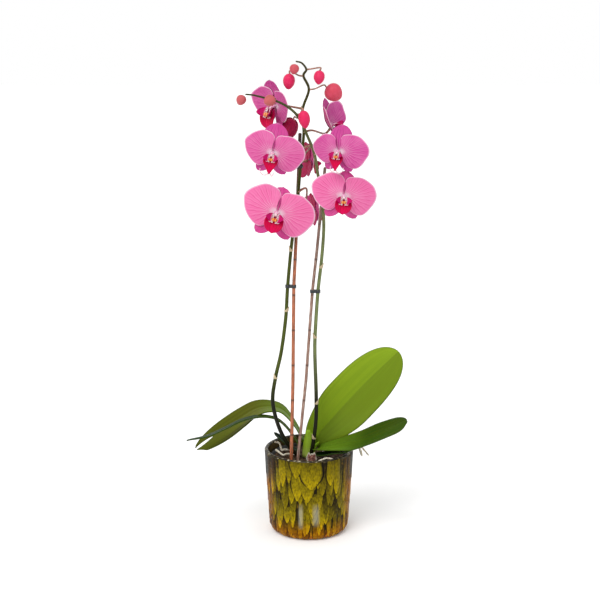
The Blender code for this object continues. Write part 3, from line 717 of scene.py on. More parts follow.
# %% Nursery pot
liner_low, liner_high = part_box("nursery_pot")
LINER_TOP, LINER_FOOT = liner_high[2], liner_low[2]
LINER_RADIUS, LINER_FOOT_RADIUS, LINER_WALL, FLANGE = 0.0565, 0.043, 0.0011, 0.0022
liner_profile = [
    (0.0, LINER_FOOT + LINER_WALL), (LINER_FOOT_RADIUS - LINER_WALL, LINER_FOOT + LINER_WALL),
    (LINER_RADIUS - LINER_WALL, LINER_TOP - 0.0004), (LINER_RADIUS - LINER_WALL + 0.0004, LINER_TOP),
    (LINER_RADIUS + FLANGE - 0.0005, LINER_TOP), (LINER_RADIUS + FLANGE, LINER_TOP - 0.0005),
    (LINER_RADIUS + FLANGE, LINER_TOP - FLANGE), (LINER_RADIUS, LINER_TOP - FLANGE),
    (LINER_FOOT_RADIUS, LINER_FOOT), (0.0, LINER_FOOT),
]
black_plastic = paint("black_plastic", Roughness=0.45)
scuffs = cloud(black_plastic, stretched(black_plastic, coordinate(black_plastic, "Object"), (1, 1, 0.2)), 420.0)
apply(black_plastic, ramp(black_plastic, scuffs, (0.40, hue(22, 22, 22)), (0.70, hue(52, 50, 48))),
      height=scuffs, depth=0.0002)
finished("black_nursery_pot", turned(liner_profile, lambda *_: 0, 72), (black_plastic,),
         "liner_plastic", "nursery_pot")

# %% Bark bed
BARK_TOP = 0.1125
bark_low, bark_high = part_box("potting_bark")
BED_RADIUS = bark_high[0]


def bed_height(x, y):
    rough = noise.noise(Vector((x, y, 0.0)) * 140) + 0.5 * noise.noise(Vector((x, y, 0.3)) * 330)
    return BARK_TOP - 0.0012 + 0.0022 * rough


def bed_corner(u, v):
    """The bed's top, edge and side as one sheet: v runs from the centre out and down to the foot."""
    turn = math.tau * u
    if v < 0.85:
        radius = BED_RADIUS * v / 0.85
        x, y = radius * math.cos(turn), radius * math.sin(turn)
        return Vector((x, y, bed_height(x, y)))
    down = (v - 0.85) / 0.15
    radius = BED_RADIUS + (LINER_FOOT_RADIUS - 0.002 - BED_RADIUS) * min(1, 2 * down)
    height = bed_height(radius, 0) * (1 - min(1, 2 * down)) + bark_low[2] * min(1, 2 * down)
    radius *= 1 - max(0.0, 2 * down - 1)
    return Vector((radius * math.cos(turn), radius * math.sin(turn), height))


bark = paint("bark", Roughness=0.85)
place = coordinate(bark, "Object")
grain = cloud(bark, stretched(bark, place, (1.0, 2.4, 1.0)), 420.0, 5.0)
patches = cloud(bark, place, 120.0)
apply(bark, mixed(bark, span(bark, patches, 0.35, 0.65),
                  ramp(bark, grain, (0.35, hue(18, 12, 8)), (0.65, hue(84, 54, 30))),
                  ramp(bark, grain, (0.35, hue(40, 26, 14)), (0.65, hue(124, 88, 50)))),
      height=grain, depth=0.0012, strength=0.9)
finished("bark_bed", sheet(64, 40, bed_corner), (bark,), "bark", "potting_bark")

# %% Loose chips
chip_tree, given, result = new_tree("scatter_chips", {
    "Bed": "Object", "Chip": "Object", "Density": "Float", "Smallest": "Float", "Largest": "Float",
    "Seed": "Int", "Material": "Material"})
bed_info = chip_tree.nodes.new("GeometryNodeObjectInfo")
chip_info = chip_tree.nodes.new("GeometryNodeObjectInfo")
chip_tree.links.new(given["Bed"], bed_info.inputs["Object"])
chip_tree.links.new(given["Chip"], chip_info.inputs["Object"])
spots = step(chip_tree, "GeometryNodeDistributePointsOnFaces", {
    "Mesh": bed_info.outputs["Geometry"], "Density": given["Density"], "Seed": given["Seed"]})
turn = step(chip_tree, "FunctionNodeRandomValue", {
    "Min": (-0.5, -0.5, 0.0), "Max": (0.5, 0.5, math.tau), "Seed": given["Seed"]}, data_type="FLOAT_VECTOR")
size = random_between(chip_tree, given["Smallest"], given["Largest"], given["Seed"], 2)
chips = step(chip_tree, "GeometryNodeInstanceOnPoints", {
    "Points": spots, "Instance": chip_info.outputs["Geometry"], "Rotation": turn, "Scale": size})
chips = step(chip_tree, "GeometryNodeRealizeInstances", {"Geometry": chips})
chips = step(chip_tree, "GeometryNodeSetMaterial", {"Geometry": chips, "Material": given["Material"]})
chip_tree.links.new(chips, result.inputs["Geometry"])

chip = lump((0, 0, 0), (1.0, 0.62, 0.30))
bm = bmesh.new()
bmesh.ops.create_icosphere(bm, subdivisions=1, radius=1.0)
chances = random.Random(5)
for vertex in bm.verts:
    jag = Vector([chances.uniform(-0.22, 0.22) for _ in range(3)])
    vertex.co = Vector((vertex.co.x, vertex.co.y * 0.62, vertex.co.z * 0.34)) + jag * 0.6
bm.to_mesh(chip)
bm.free()
chip_maker = bpy.data.objects.new("one_chip", chip)


def scatter_corner(u, v):
    radius, turn = (BED_RADIUS - 0.003) * v, math.tau * u
    x, y = radius * math.cos(turn), radius * math.sin(turn)
    return Vector((x, y, bed_height(x, y)))


scatter_bed = bpy.data.objects.new("scatter_bed", sheet(24, 6, scatter_corner))
loose = run_tree(chip_tree, {"Bed": scatter_bed, "Chip": chip_maker, "Density": 26000.0,
                             "Smallest": 0.0022, "Largest": 0.0052, "Seed": 3, "Material": bark})
finished("bark_chips", loose, (), "bark")
for maker in (scatter_bed, chip_maker, scale_maker):
    bpy.data.objects.remove(maker, do_unlink=True)
print("bark chips:", len(loose.polygons), "faces")

# %% [markdown]
# ## Leaves
# Each leaf is a thick strap folded lightly along its midrib. It grows from a narrow clasping base, broadens past the
# middle and ends in a rounded tip with a small notch. The blade is a sheet laid along its midrib's curve, thickened
# afterwards. Its U runs across and its V along, so the fine parallel veins, the pale midrib and the painted shade on
# one of the two halves follow the blade.

# %% Leaf shapes
LEAVES = {  # midrib, full width, base share, fold at base and tip, side at base and tip, notch at the tip
    "leaf_upright_right": (
        [(0.0065, 0.0115, 0.1270), (0.0175, 0.0150, 0.1465), (0.0370, 0.0180, 0.1690),
         (0.0590, 0.0220, 0.1930), (0.0940, 0.0260, 0.2290), (0.1350, 0.0260, 0.2700)],
        0.074, 0.40, 14, 6, (-0.72, 0.20, 0.66), (-0.74, 0.10, 0.66), 0.0),
    "leaf_low_right": (
        [(0.0140, -0.0040, 0.1270), (0.0315, -0.0140, 0.1350), (0.0581, -0.0240, 0.1440),
         (0.0785, -0.0320, 0.1510), (0.1045, -0.0400, 0.1650), (0.1259, -0.0470, 0.1780),
         (0.1420, -0.0520, 0.1865)],
        0.054, 0.40, 12, 2, (0.40, 0.92, 0.12), (0.28, 0.86, 0.42), 0.0),
    "leaf_under_right": (
        [(0.0100, -0.0175, 0.1215), (0.0283, -0.0240, 0.1250), (0.0460, -0.0290, 0.1305),
         (0.0650, -0.0330, 0.1360)],
        0.028, 0.50, 12, 8, (0.30, 0.92, 0.02), (0.30, 0.92, 0.10), 0.0),
    "leaf_arching_back": (
        [(-0.0080, 0.0090, 0.1310), (-0.0182, 0.0140, 0.1530), (-0.0319, 0.0210, 0.1712),
         (-0.0457, 0.0260, 0.1810), (-0.0656, 0.0280, 0.1828), (-0.0824, 0.0260, 0.1796),
         (-0.1005, 0.0210, 0.1700), (-0.1230, 0.0130, 0.1568), (-0.1468, 0.0030, 0.1425),
         (-0.1710, -0.0080, 0.1265)],
        0.056, 0.34, 10, 8, (0.10, 0.98, -0.10), (-0.20, 0.84, 0.50), 0.06),
    "leaf_arching_front": (
        [(-0.0125, -0.0010, 0.1270), (-0.0287, -0.0040, 0.1540), (-0.0422, -0.0060, 0.1690),
         (-0.0557, -0.0090, 0.1762), (-0.0766, -0.0150, 0.1790), (-0.1003, -0.0230, 0.1755),
         (-0.1253, -0.0310, 0.1660), (-0.1515, -0.0380, 0.1570), (-0.1805, -0.0440, 0.1530)],
        0.024, 0.45, 8, 6, (0.10, 0.98, -0.12), (-0.10, 0.97, -0.18), 0.0),
    "leaf_small_left": (
        [(-0.0145, 0.0075, 0.1190), (-0.0258, 0.0120, 0.1225), (-0.0365, 0.0170, 0.1295),
         (-0.0442, 0.0205, 0.1355), (-0.0529, 0.0240, 0.1427)],
        0.012, 0.60, 12, 10, (0.35, 0.90, 0.05), (0.35, 0.90, 0.05), 0.0),
}
LEAF_THICKNESS = 0.0016


def blade_share(t, base, bluntness=2.4):
    """The blade's width along its length, as a share of the full width."""
    widest = 0.62
    if t < widest:
        return base + (1 - base) * math.sin(t / widest * math.pi / 2) ** 1.3
    return math.sqrt(max(0.0, 1 - ((t - widest) / (1 - widest)) ** bluntness))


HALVES = {  # blades that are not even: breadth of the half at low U, of the half at high U, bluntness
    "leaf_upright_right": (1.10, 1.05, 3.2), "leaf_low_right": (1.42, 0.85, 1.3),
    "leaf_arching_back": (1.18, 0.70, 2.4)}


def leaf_mesh(name):
    route, width, base, fold_base, fold_tip, side_base, side_tip, notch = LEAVES[name]
    low_half, high_half, bluntness = HALVES.get(name, (1.0, 1.0, 2.4))
    midrib = smooth_route(route, 12)

    def corner(u, v):
        across = (2 * u - 1) * (high_half if u > 0.5 else low_half)
        t = 1 - (1 - v) ** 1.5
        late = max(0.0, (t - 0.75) / 0.25) ** 2
        t -= notch * late * (2 * math.exp(-(across / 0.25) ** 2) + max(0.0, abs(across) - 0.5))
        here = Vector(at_share(midrib, t))
        ahead = (Vector(at_share(midrib, t + 0.01)) - Vector(at_share(midrib, t - 0.01))).normalized()
        side = Vector(side_base).lerp(Vector(side_tip), t)
        side = (side - ahead * side.dot(ahead)).normalized()
        up = side.cross(ahead)
        if up.z < 0:
            up = -up
        fold = math.radians(fold_base + (fold_tip - fold_base) * t)
        reach = across * width / 2 * max(blade_share(t, base, bluntness), 0.02 + 3 * notch * late)
        softened = math.sqrt(reach * reach + 0.0012 ** 2) - 0.0012
        wave = 0.0011 * across ** 2 * math.sin(9 * t + 3 * across) * min(1.0, width / 0.04)
        crease = -0.0005 * math.exp(-(reach / 0.0012) ** 2)
        return here + side * reach * math.cos(fold) + up * (softened * math.sin(fold) + wave + crease)

    return sheet(24, 44, corner)


# %% [markdown]
# ## Leaf finish
# Leaves of this plant are leathery and slightly waxy, so they are smooth with a soft coat. Colours differ from leaf to
# leaf: the young upright one is yellow green, the old arching ones are dull olive with brown streaks, and the ones in
# shadow are painted dark green as painted shade.


# %% Leaf finish
def leaf_finish(name, near, middle, far, shaded_half_value, streak, streak_amount, shaded=1):
    """A leaf: colours from base to tip, how dark its shaded half is and which it is, and long streaks."""
    made = paint(name, Roughness=0.44, Specular_IOR_Level=0.08)
    uv = coordinate(made, "UV")
    grid = axes(made, uv)
    place = coordinate(made, "Object")
    veins = cloud(made, stretched(made, uv, (64.0, 1.6, 1.0)), 1.0, 2.0)
    broad = cloud(made, stretched(made, uv, (9.0, 1.2, 1.0)), 1.0, 3.0)
    cells = cloud(made, place, 1400.0, 2.0)
    colour = ramp(made, grid["Y"], (0.0, near), (0.14, near), (0.42, middle), (0.92, far))
    # Painted shade: one half of each blade, picked by the sign of shaded, is darkened as if turned away from the
    # light.
    half = span(made, grid["X"], 0.5 - 0.005 * shaded, 0.5 + 0.02 * shaded)
    shaded_half_colour = put(made, "ShaderNodeHueSaturation", {"Value": shaded_half_value, "Color": colour}).outputs["Color"]
    colour = mixed(made, half, colour, shaded_half_colour)
    amount = calc(made, "MULTIPLY", span(made, broad, 0.46, 0.64), streak_amount)
    colour = mixed(made, amount, colour, streak)
    fine = calc(made, "MULTIPLY", span(made, veins, 0.62, 0.40), 0.22)
    colour = mixed(made, fine, colour, put(
        made, "ShaderNodeHueSaturation", {"Value": 0.66, "Color": colour}).outputs["Color"])
    off_rib = calc(made, "ABSOLUTE", calc(made, "MULTIPLY_ADD", grid["X"], 2.0, -1.0))
    rib = span(made, off_rib, 0.045, 0.0)
    colour = mixed(made, calc(made, "MULTIPLY", rib, 0.35), colour, hue(70, 92, 26))
    rim = span(made, off_rib, 0.94, 1.0)
    colour = mixed(made, calc(made, "MULTIPLY", rim, 0.55), colour, hue(60, 80, 20))
    height = calc(made, "MULTIPLY_ADD", veins, 1.4, cells)
    return apply(made, colour, height=height, depth=0.00022, strength=0.5)


LEAF_FINISHES = {
    "leaf_upright_right": leaf_finish("leaf_young", hue(128, 156, 24), hue(138, 166, 28), hue(142, 172, 34),
                                      0.66, hue(118, 150, 26), 0.35, -1),
    "leaf_low_right": leaf_finish("leaf_green", hue(104, 140, 28), hue(56, 88, 12), hue(54, 82, 10),
                                  0.84, hue(86, 92, 6), 0.35),
    # Painted shade: this leaf, tucked in shadow under the others, is painted nearly black green.
    "leaf_under_right": leaf_finish("leaf_shaded", hue(22, 44, 10), hue(20, 52, 18), hue(24, 60, 24),
                                    0.85, hue(14, 28, 10), 0.4),
    "leaf_arching_back": leaf_finish("leaf_old", hue(112, 148, 20), hue(100, 106, 4), hue(84, 94, 2),
                                     0.84, hue(68, 64, 4), 0.42),
    "leaf_arching_front": leaf_finish("leaf_blue_green", hue(84, 108, 20), hue(42, 70, 8), hue(30, 60, 14),
                                      0.85, hue(18, 50, 22), 0.5),
    "leaf_small_left": leaf_finish("leaf_blade", hue(38, 60, 26), hue(34, 60, 30), hue(30, 54, 34),
                                   0.85, hue(20, 36, 26), 0.4),
}
for name, finish in LEAF_FINISHES.items():
    finished(f"{name}_blade", leaf_mesh(name), (finish, None), "leaf", name, thickness=LEAF_THICKNESS)
print("leaves:", len(LEAF_FINISHES))

# %% [markdown]
# ## Canes
# The two canes are split bamboo: nearly straight, with a slightly swollen ring every few
# centimetres and a dry, streaky skin. They are tubes whose radius swells at each ring. The streaks
# are noise stretched along the tube, and the rings are darker.

# %% Canes
CANES = {
    "left": [(-0.0275, -0.0290, 0.0400, 0.0026), (-0.0266, -0.0300, 0.1221, 0.0026),
             (-0.0240, -0.0180, 0.2377, 0.0026), (-0.0227, -0.0050, 0.3756, 0.0026),
             (-0.0194, 0.0030, 0.4446, 0.0026), (-0.0136, 0.0090, 0.5977, 0.0026)],
    "right": [(-0.0190, -0.0330, 0.0400, 0.0023), (-0.0166, -0.0320, 0.1220, 0.0023),
              (-0.0047, -0.0180, 0.2377, 0.0023), (0.0048, -0.0040, 0.3709, 0.0023),
              (0.0113, 0.0015, 0.4298, 0.0023), (0.0226, 0.0060, 0.5490, 0.0023)],
}
RING_SPACING = 0.052


def cane_mesh(side):
    route = []
    for low, high in zip(CANES[side], CANES[side][1:]):
        for k in range(30):
            route.append([a + (b - a) * k / 30 for a, b in zip(low, high)])
    route.append(list(CANES[side][-1]))
    for row in route:
        off = (row[2] + 0.5 * RING_SPACING) % RING_SPACING - 0.5 * RING_SPACING
        row[3] *= 0.97 + 0.08 * math.exp(-(off / 0.0016) ** 2) + 0.02 * noise.noise(Vector((row[2] * 90, 0, 0)))
    return tube(route, 16)


def cane_finish(name, pale, mid, dark, top):
    """Dry streaky bamboo; top is the colour near the upper end."""
    made = paint(name, Roughness=0.5)
    uv = coordinate(made, "UV")
    height = axes(made, coordinate(made, "Object"))["Z"]
    streaks = cloud(made, stretched(made, uv, (14.0, 70.0, 1.0)), 1.0, 4.0)
    fibres = cloud(made, stretched(made, uv, (50.0, 120.0, 1.0)), 1.0, 2.0)
    colour = ramp(made, streaks, (0.34, dark), (0.50, mid), (0.66, pale))
    rings = calc(made, "PINGPONG", height, RING_SPACING / 2)
    colour = mixed(made, span(made, rings, 0.0022, 0.0004), colour, dark)
    colour = mixed(made, span(made, height, 0.40, 0.58), colour, top)
    return apply(made, colour, height=fibres, depth=0.0003, strength=0.7)


CANE_FINISHES = {
    "left": cane_finish("cane_red_brown", hue(216, 122, 80), hue(180, 104, 66), hue(94, 52, 28), hue(62, 24, 20)),
    "right": cane_finish("cane_pale", hue(196, 176, 160), hue(150, 108, 90), hue(92, 62, 50), hue(150, 126, 116)),
}
for side, finish in CANE_FINISHES.items():
    finished(f"cane_{side}", cane_mesh(side), (finish,), "bamboo", f"stake_{side}")
print("canes:", len(CANES))

# %% [markdown]
# ## Flower spikes
# A spike is a tough green stem that arches up from the crown. Every node has a thin pale ring and a
# small dry bract. Near its end it zig-zags from flower to flower, and each flower hangs on a thinner
# stalk. The main stem and the stalks are tubes; the stalks have their own pinkish finish.

# %% Spike routes
SPIKES = {
    "left": [
        (-0.0150, -0.0100, 0.1165, 0.0030), (-0.0286, -0.0165, 0.1325, 0.0030), (-0.0445, -0.0230, 0.1650, 0.0030),
        (-0.0540, -0.0230, 0.2050, 0.0029), (-0.0500, -0.0190, 0.2410, 0.0028), (-0.0414, -0.0120, 0.2790, 0.0027),
        (-0.0346, -0.0070, 0.3300, 0.0027), (-0.0317, -0.0035, 0.3768, 0.0026), (-0.0255, -0.0030, 0.4420, 0.0025),
        (-0.0185, -0.0020, 0.4890, 0.0025), (-0.0145, -0.0020, 0.5340, 0.0023), (-0.0115, -0.0010, 0.5680, 0.0022),
        (-0.0082, 0.0000, 0.5990, 0.0021), (-0.0097, 0.0000, 0.6330, 0.0020), (-0.0010, 0.0010, 0.6610, 0.0019),
        (-0.0087, 0.0010, 0.6800, 0.0018), (-0.0046, 0.0000, 0.6890, 0.0016), (-0.0110, -0.0010, 0.6980, 0.0013),
        (-0.0190, -0.0045, 0.7004, 0.0011),
    ],
    "right": [
        (0.0035, -0.0115, 0.1230, 0.0030), (0.0070, -0.0130, 0.1440, 0.0029), (0.0104, -0.0130, 0.1770, 0.0028),
        (0.0105, -0.0115, 0.2150, 0.0028), (0.0085, -0.0080, 0.2740, 0.0027), (0.0090, -0.0060, 0.3080, 0.0027),
        (0.0128, -0.0040, 0.3685, 0.0026), (0.0175, -0.0030, 0.4110, 0.0025), (0.0208, -0.0020, 0.4540, 0.0024),
        (0.0205, -0.0010, 0.4840, 0.0024), (0.0177, -0.0020, 0.5090, 0.0023), (0.0125, -0.0050, 0.5390, 0.0022),
        (0.0067, -0.0080, 0.5720, 0.0021), (-0.0030, -0.0105, 0.5960, 0.0020), (-0.0100, -0.0125, 0.6120, 0.0020),
        (-0.0190, -0.0150, 0.6270, 0.0019), (-0.0320, -0.0180, 0.6380, 0.0018), (-0.0470, -0.0200, 0.6455, 0.0017),
        (-0.0650, -0.0210, 0.6505, 0.0015), (-0.0800, -0.0220, 0.6540, 0.0013), (-0.0900, -0.0225, 0.6550, 0.0011),
    ],
}
SPIKE_NODES = {"left": (0.241, 0.340, 0.430), "right": (0.146, 0.200, 0.300, 0.405)}
FLOWERS = {  # centre, yaw, pitch, roll, petal length, sweep, upright sepal's share, spike, node height, painted violet sheen
    "flower_low_left": ((-0.0465, -0.045, 0.4895), -4, 2, 14, 0.0515, 0.16, 0.74, "left", 0.496, 0.05),
    "flower_mid_left": ((-0.0519, -0.042, 0.5735), -8, -4, 9, 0.0425, 0.18, 1.00, "left", 0.563, 0.45),
    "flower_top_left": ((-0.0490, 0.023, 0.6360), -48, -6, 6, 0.0400, -0.30, 1.00, "left", 0.634, 0.70),
    "flower_low_right": ((0.0477, -0.043, 0.5130), 3, 2, 6, 0.0455, 0.16, 0.80, "right", 0.496, 0.10),
    "flower_mid_right": ((0.0412, -0.043, 0.5760), -20, 0, 5, 0.0400, 0.16, 0.95, "right", 0.570, 0.70),
    "flower_top_right": ((0.0325, 0.028, 0.6060), 62, 38, -16, 0.0370, -0.55, 1.05, "left", 0.601, 0.95),
    "flower_mid_back": ((0.0000, 0.044, 0.5560), 112, -4, 10, 0.0350, 0.20, 0.80, "left", 0.578, 0.75),
    "flower_low_back": ((0.0085, 0.046, 0.4830), 112, 2, 0, 0.0320, 0.20, 0.80, "left", 0.516, 0.80),
}
BUDS = {  # centre, direction of its stalk, length, width, spike, node height, brownness
    "bud_left_tip": ((-0.0965, -0.0230, 0.6470), (0.45, 0.0, 0.9), 0.0150, 0.0140, "right", None, 0.85),
    "bud_left_second": ((-0.0563, -0.0330, 0.6465), (0.75, 0.55, 0.25), 0.0170, 0.0160, "right", 0.6445, 0.95),
    "bud_centre": ((-0.0073, -0.0255, 0.6200), (-0.15, 0.10, 1.0), 0.0255, 0.0165, "right", 0.6270, 0.0),
    "bud_top_left": ((-0.0293, 0.0060, 0.6722), (0.10, 0.0, 1.0), 0.0225, 0.0170, "left", 0.6800, 0.0),
    "bud_top": ((-0.0217, -0.0085, 0.6895), (0.25, 0.2, 1.0), 0.0145, 0.0135, "left", None, 0.70),
    "bud_top_right": ((0.0135, -0.0110, 0.6780), (0.12, 0.1, 1.0), 0.0200, 0.0155, "left", 0.6890, 0.05),
    "bud_right": ((0.0345, 0.0050, 0.6565), (-0.80, 0.0, 0.60), 0.0265, 0.0255, "left", 0.6610, 0.45),
    "bud_opening": ((-0.0300, 0.0250, 0.6055), (0.45, -0.2, 0.85), 0.0290, 0.0235, "left", 0.6200, 0.60),
}
PETAL_THICKNESS, SEPAL_BEHIND, LIP_AHEAD, AIR = 0.0009, 0.0021, 0.0021, 0.0004


def flower_matrix(name):
    """The flower's frame: X to its right as seen from the front, Y up, Z the way it faces."""
    centre, yaw, pitch, roll = FLOWERS[name][:4]
    return (Matrix.Translation(centre) @ Matrix.Rotation(math.radians(yaw), 4, "Z")
            @ Matrix.Rotation(math.radians(90 - pitch), 4, "X") @ Matrix.Rotation(math.radians(-roll), 4, "Z"))


def at_height(route, height):
    """Where a rising route first reaches a height."""
    for low, high in zip(route, route[1:]):
        if low[2] <= height <= high[2]:
            return Vector(low[:3]).lerp(Vector(high[:3]), (height - low[2]) / (high[2] - low[2]))
    raise ValueError(f"the route never reaches {height}")


def stalk_route(start, end, facing, thin, thick, swing=0.35):
    """A stalk that leaves the spike sideways and swings round to meet its flower from behind."""
    reach = (end - start).length
    aside = Vector((math.copysign(min(0.012, 0.35 * reach), end.x - start.x), 0.0, 0.05 * reach))
    route = [start, start + aside, end - facing * min(0.012, swing * reach), end]
    radii = (thin * 1.25, thin, thin, thick)
    return smooth_route([(*point, radius) for point, radius in zip(route, radii)], 8)


# %% Spike finish
def spike_finish(name, dark, olive, dark_below, dark_above, top):
    """A stem whose colour changes with height, with fine freckles and streaks."""
    made = paint(name, Roughness=0.42, Specular_IOR_Level=0.15)
    uv = coordinate(made, "UV")
    height = axes(made, coordinate(made, "Object"))["Z"]
    streaks = cloud(made, stretched(made, uv, (10.0, 60.0, 1.0)), 1.0, 4.0)
    freckles = cloud(made, coordinate(made, "Object"), 1600.0, 2.0)
    colour = mixed(made, span(made, height, dark_below, dark_above), dark, olive)
    colour = mixed(made, span(made, height, 0.56, 0.66), colour, top)
    shade = put(made, "ShaderNodeHueSaturation", {"Value": 0.62, "Color": colour}).outputs["Color"]
    colour = mixed(made, span(made, streaks, 0.60, 0.38), colour, shade)
    colour = mixed(made, calc(made, "MULTIPLY", span(made, freckles, 0.62, 0.72), 0.5), colour, hue(60, 36, 24))
    return apply(made, colour, height=streaks, depth=0.0003, strength=0.5)


SPIKE_FINISHES = {
    "left": spike_finish("spike_olive", hue(28, 30, 10), hue(80, 90, 26), 0.205, 0.262, hue(68, 64, 20)),
    "right": spike_finish("spike_grey_green", hue(28, 28, 10), hue(128, 140, 88), 0.205, 0.290, hue(64, 64, 20)),
}
stalk_pink = paint("stalk_pink", Roughness=0.45)
place = coordinate(stalk_pink, "Object")
blush = cloud(stalk_pink, stretched(stalk_pink, place, (1.0, 1.0, 1.0)), 260.0, 3.0)
apply(stalk_pink, ramp(stalk_pink, blush, (0.30, hue(104, 84, 54)), (0.50, hue(158, 112, 92)),
                       (0.68, hue(206, 146, 128))), height=blush, depth=0.0002)
ring_cream = paint("ring_cream", Roughness=0.6)
blush = cloud(ring_cream, coordinate(ring_cream, "Object"), 1200.0, 3.0)
apply(ring_cream, ramp(ring_cream, blush, (0.30, hue(168, 146, 104)), (0.65, hue(222, 204, 168))),
      height=blush, depth=0.0002)


# %% [markdown]
# The node rings and their bracts repeat along each stem: a ring is a short collar round the tube, and
# a bract is a small pointed sheet that hugs the stem above it. Both are placed by the stem's own
# direction at that height.


# %% Spikes, stalks, rings and bracts
def stem_frame(route, height):
    """A frame at a height on a stem: Z along it, X away from it towards the right."""
    here = at_height(route, height)
    ahead = (at_height(route, height + 0.002) - here).normalized()
    side = Vector((1.0, 0.0, 0.0))
    side = (side - ahead * side.dot(ahead)).normalized()
    return here, side, ahead.cross(side), ahead


def bract(route, height, radius, facing, length, slot):
    here, side, front, ahead = stem_frame(route, height)

    def corner(u, v):
        turn = facing + (u - 0.5) * 3.6 * (1 - v) ** 0.8
        flare = radius * (1.08 + 0.35 * v * v)
        return here + (side * math.cos(turn) + front * math.sin(turn)) * flare + ahead * length * v

    return sheet(10, 6, corner, slot)


for spike, knots in SPIKES.items():
    stem = smooth_route(knots, 8)
    kinds = [tube(stem, 16)]
    rings = []
    for number, height in enumerate(SPIKE_NODES[spike]):
        here, side, front, ahead = stem_frame(stem, height)
        collar = [(*(here + ahead * shift), 0.0027 + swell) for shift, swell in
                  ((-0.0011, 0.0), (-0.0005, 0.00035), (0.0005, 0.00035), (0.0011, 0.0))]
        rings.append(tube(collar, 16))
        rings.append(bract(stem, height, 0.0029, math.pi / 2 + 1.9 * (-1) ** number, 0.007, 0))
    finished(f"spike_{spike}_stem", kinds[0], (SPIKE_FINISHES[spike],), "stem", f"spike_{spike}")
    stalks = []
    for name, (*_, bearer, height, _) in FLOWERS.items():
        if bearer == spike:
            matrix = flower_matrix(name)
            facing = matrix.to_3x3() @ Vector((0, 0, 1))
            end = matrix.translation - facing * (SEPAL_BEHIND + PETAL_THICKNESS / 2 + AIR)
            route = stalk_route(at_height(stem, height), end, facing, 0.0015, 0.0021)
            stalks.append(tube(route, 12))
            rings.append(bract(stem, height - 0.001, 0.0026, 0.0 if route[-1][0] > route[0][0] else math.pi, 0.006, 0))
    for name, (centre, away, length, _, bearer, height, _) in BUDS.items():
        if bearer == spike and height:
            away = Vector(away).normalized()
            end = Vector(centre) + away * (length / 2 - AIR)
            stalks.append(tube(stalk_route(at_height(stem, height), end, -away, 0.0011, 0.0013, 0.2), 10))
    finished(f"spike_{spike}_stalks", joined(stalks), (stalk_pink,), "stem")
    finished(f"spike_{spike}_bracts", joined(rings), (ring_cream, None), "stem", thickness=0.0003)
    print("spike", spike, "carries", len(stalks), "stalks")

# %% [markdown]
# ## Clips
# Small figure-of-eight clips of springy dark plastic hold each spike to its cane. Each clip is a flat
# band with a loop round the stem and a loop round the cane.

# %% Clips
CLIPS = {"clip_left_lower": ("left", 0.3765), "clip_left_upper": ("left", 0.5520),
         "clip_right_lower": ("right", 0.3690), "clip_right_upper": ("right", 0.5180)}
CLIP_HEIGHT = 0.0045
clip_plastic = paint("clip_plastic_dark", Roughness=0.35)
scuffs = cloud(clip_plastic, coordinate(clip_plastic, "Object"), 900.0)
apply(clip_plastic, ramp(clip_plastic, scuffs, (0.40, hue(20, 26, 30)), (0.70, hue(48, 56, 60))),
      height=scuffs, depth=0.0001)


def clip_mesh(side, height):
    """Two loops and the neck between them, as one band round an outline, then given its height."""
    stem, cane = at_height(SPIKES[side], height), at_height(CANES[side], height)
    middle = (stem + cane) / 2
    across = Vector((cane.x - stem.x, cane.y - stem.y, 0.0))
    half = across.length / 2
    across.normalize()
    front = Vector((-across.y, across.x, 0.0))
    ring = 0.0033
    outline = arc((half, 0.0), ring, -135, 135, 14) + arc((-half, 0.0), ring, 45, 315, 14)
    band = []
    for k, (x, y) in enumerate(outline + outline[:1]):
        band.append(middle + across * x + front * y)

    def corner(u, v):
        place = u * (len(band) - 1)
        step_at = min(int(place), len(band) - 2)
        here = band[step_at].lerp(band[step_at + 1], place - step_at)
        return here + Vector((0, 0, (v - 0.5) * CLIP_HEIGHT))

    return sheet(len(band) * 2, 3, corner)


for name, (side, height) in CLIPS.items():
    finished(f"{name}_band", clip_mesh(side, height), (clip_plastic, None), "clip_plastic", name, thickness=0.0009)
print("clips:", len(CLIPS))

# %% [markdown]
# ## Air roots
# Air roots are dull cream tubes with a spongy skin that is brown where it is old. Their thickness
# wanders, and they creep over the bark and over the pot's lip.

# %% Air roots
ROOTS = {
    "root_left_rear": ([(-0.0240, 0.0180, 0.1160), (-0.0370, 0.0120, 0.1195), (-0.0415, 0.0110, 0.1190),
                        (-0.0435, 0.0170, 0.1235), (-0.0460, 0.0200, 0.1275), (-0.0520, 0.0220, 0.1280)], 0.0015),
    "root_left_front": ([(-0.0200, 0.0000, 0.1155), (-0.0330, -0.0040, 0.1180), (-0.0390, -0.0080, 0.1175),
                         (-0.0440, -0.0050, 0.1200), (-0.0500, 0.0010, 0.1225)], 0.0015),
    "root_front_right": ([(0.0150, -0.0290, 0.1150), (0.0250, -0.0330, 0.1210), (0.0330, -0.0370, 0.1215),
                          (0.0390, -0.0330, 0.1180)], 0.0015),
    "root_over_rim": ([(0.0220, 0.0160, 0.1150), (0.0400, 0.0220, 0.1190), (0.0580, 0.0180, 0.1290),
                       (0.0690, 0.0120, 0.1335), (0.0760, 0.0040, 0.1270), (0.0800, -0.0060, 0.1160)], 0.0020),
}
root_skin = paint("root_skin", Roughness=0.8)
place = coordinate(root_skin, "Object")
flakes = cloud(root_skin, place, 620.0, 4.0)
apply(root_skin, ramp(root_skin, flakes, (0.32, hue(150, 98, 70)), (0.42, hue(234, 216, 184)),
                      (0.56, hue(255, 250, 234))), height=flakes, depth=0.0006)
SIDE_ROOT = [(0.0690, 0.0125, 0.1335), (0.0760, 0.0110, 0.1300), (0.0815, 0.0060, 0.1240), (0.0865, 0.0000, 0.1195),
             (0.0900, -0.0040, 0.1160)]


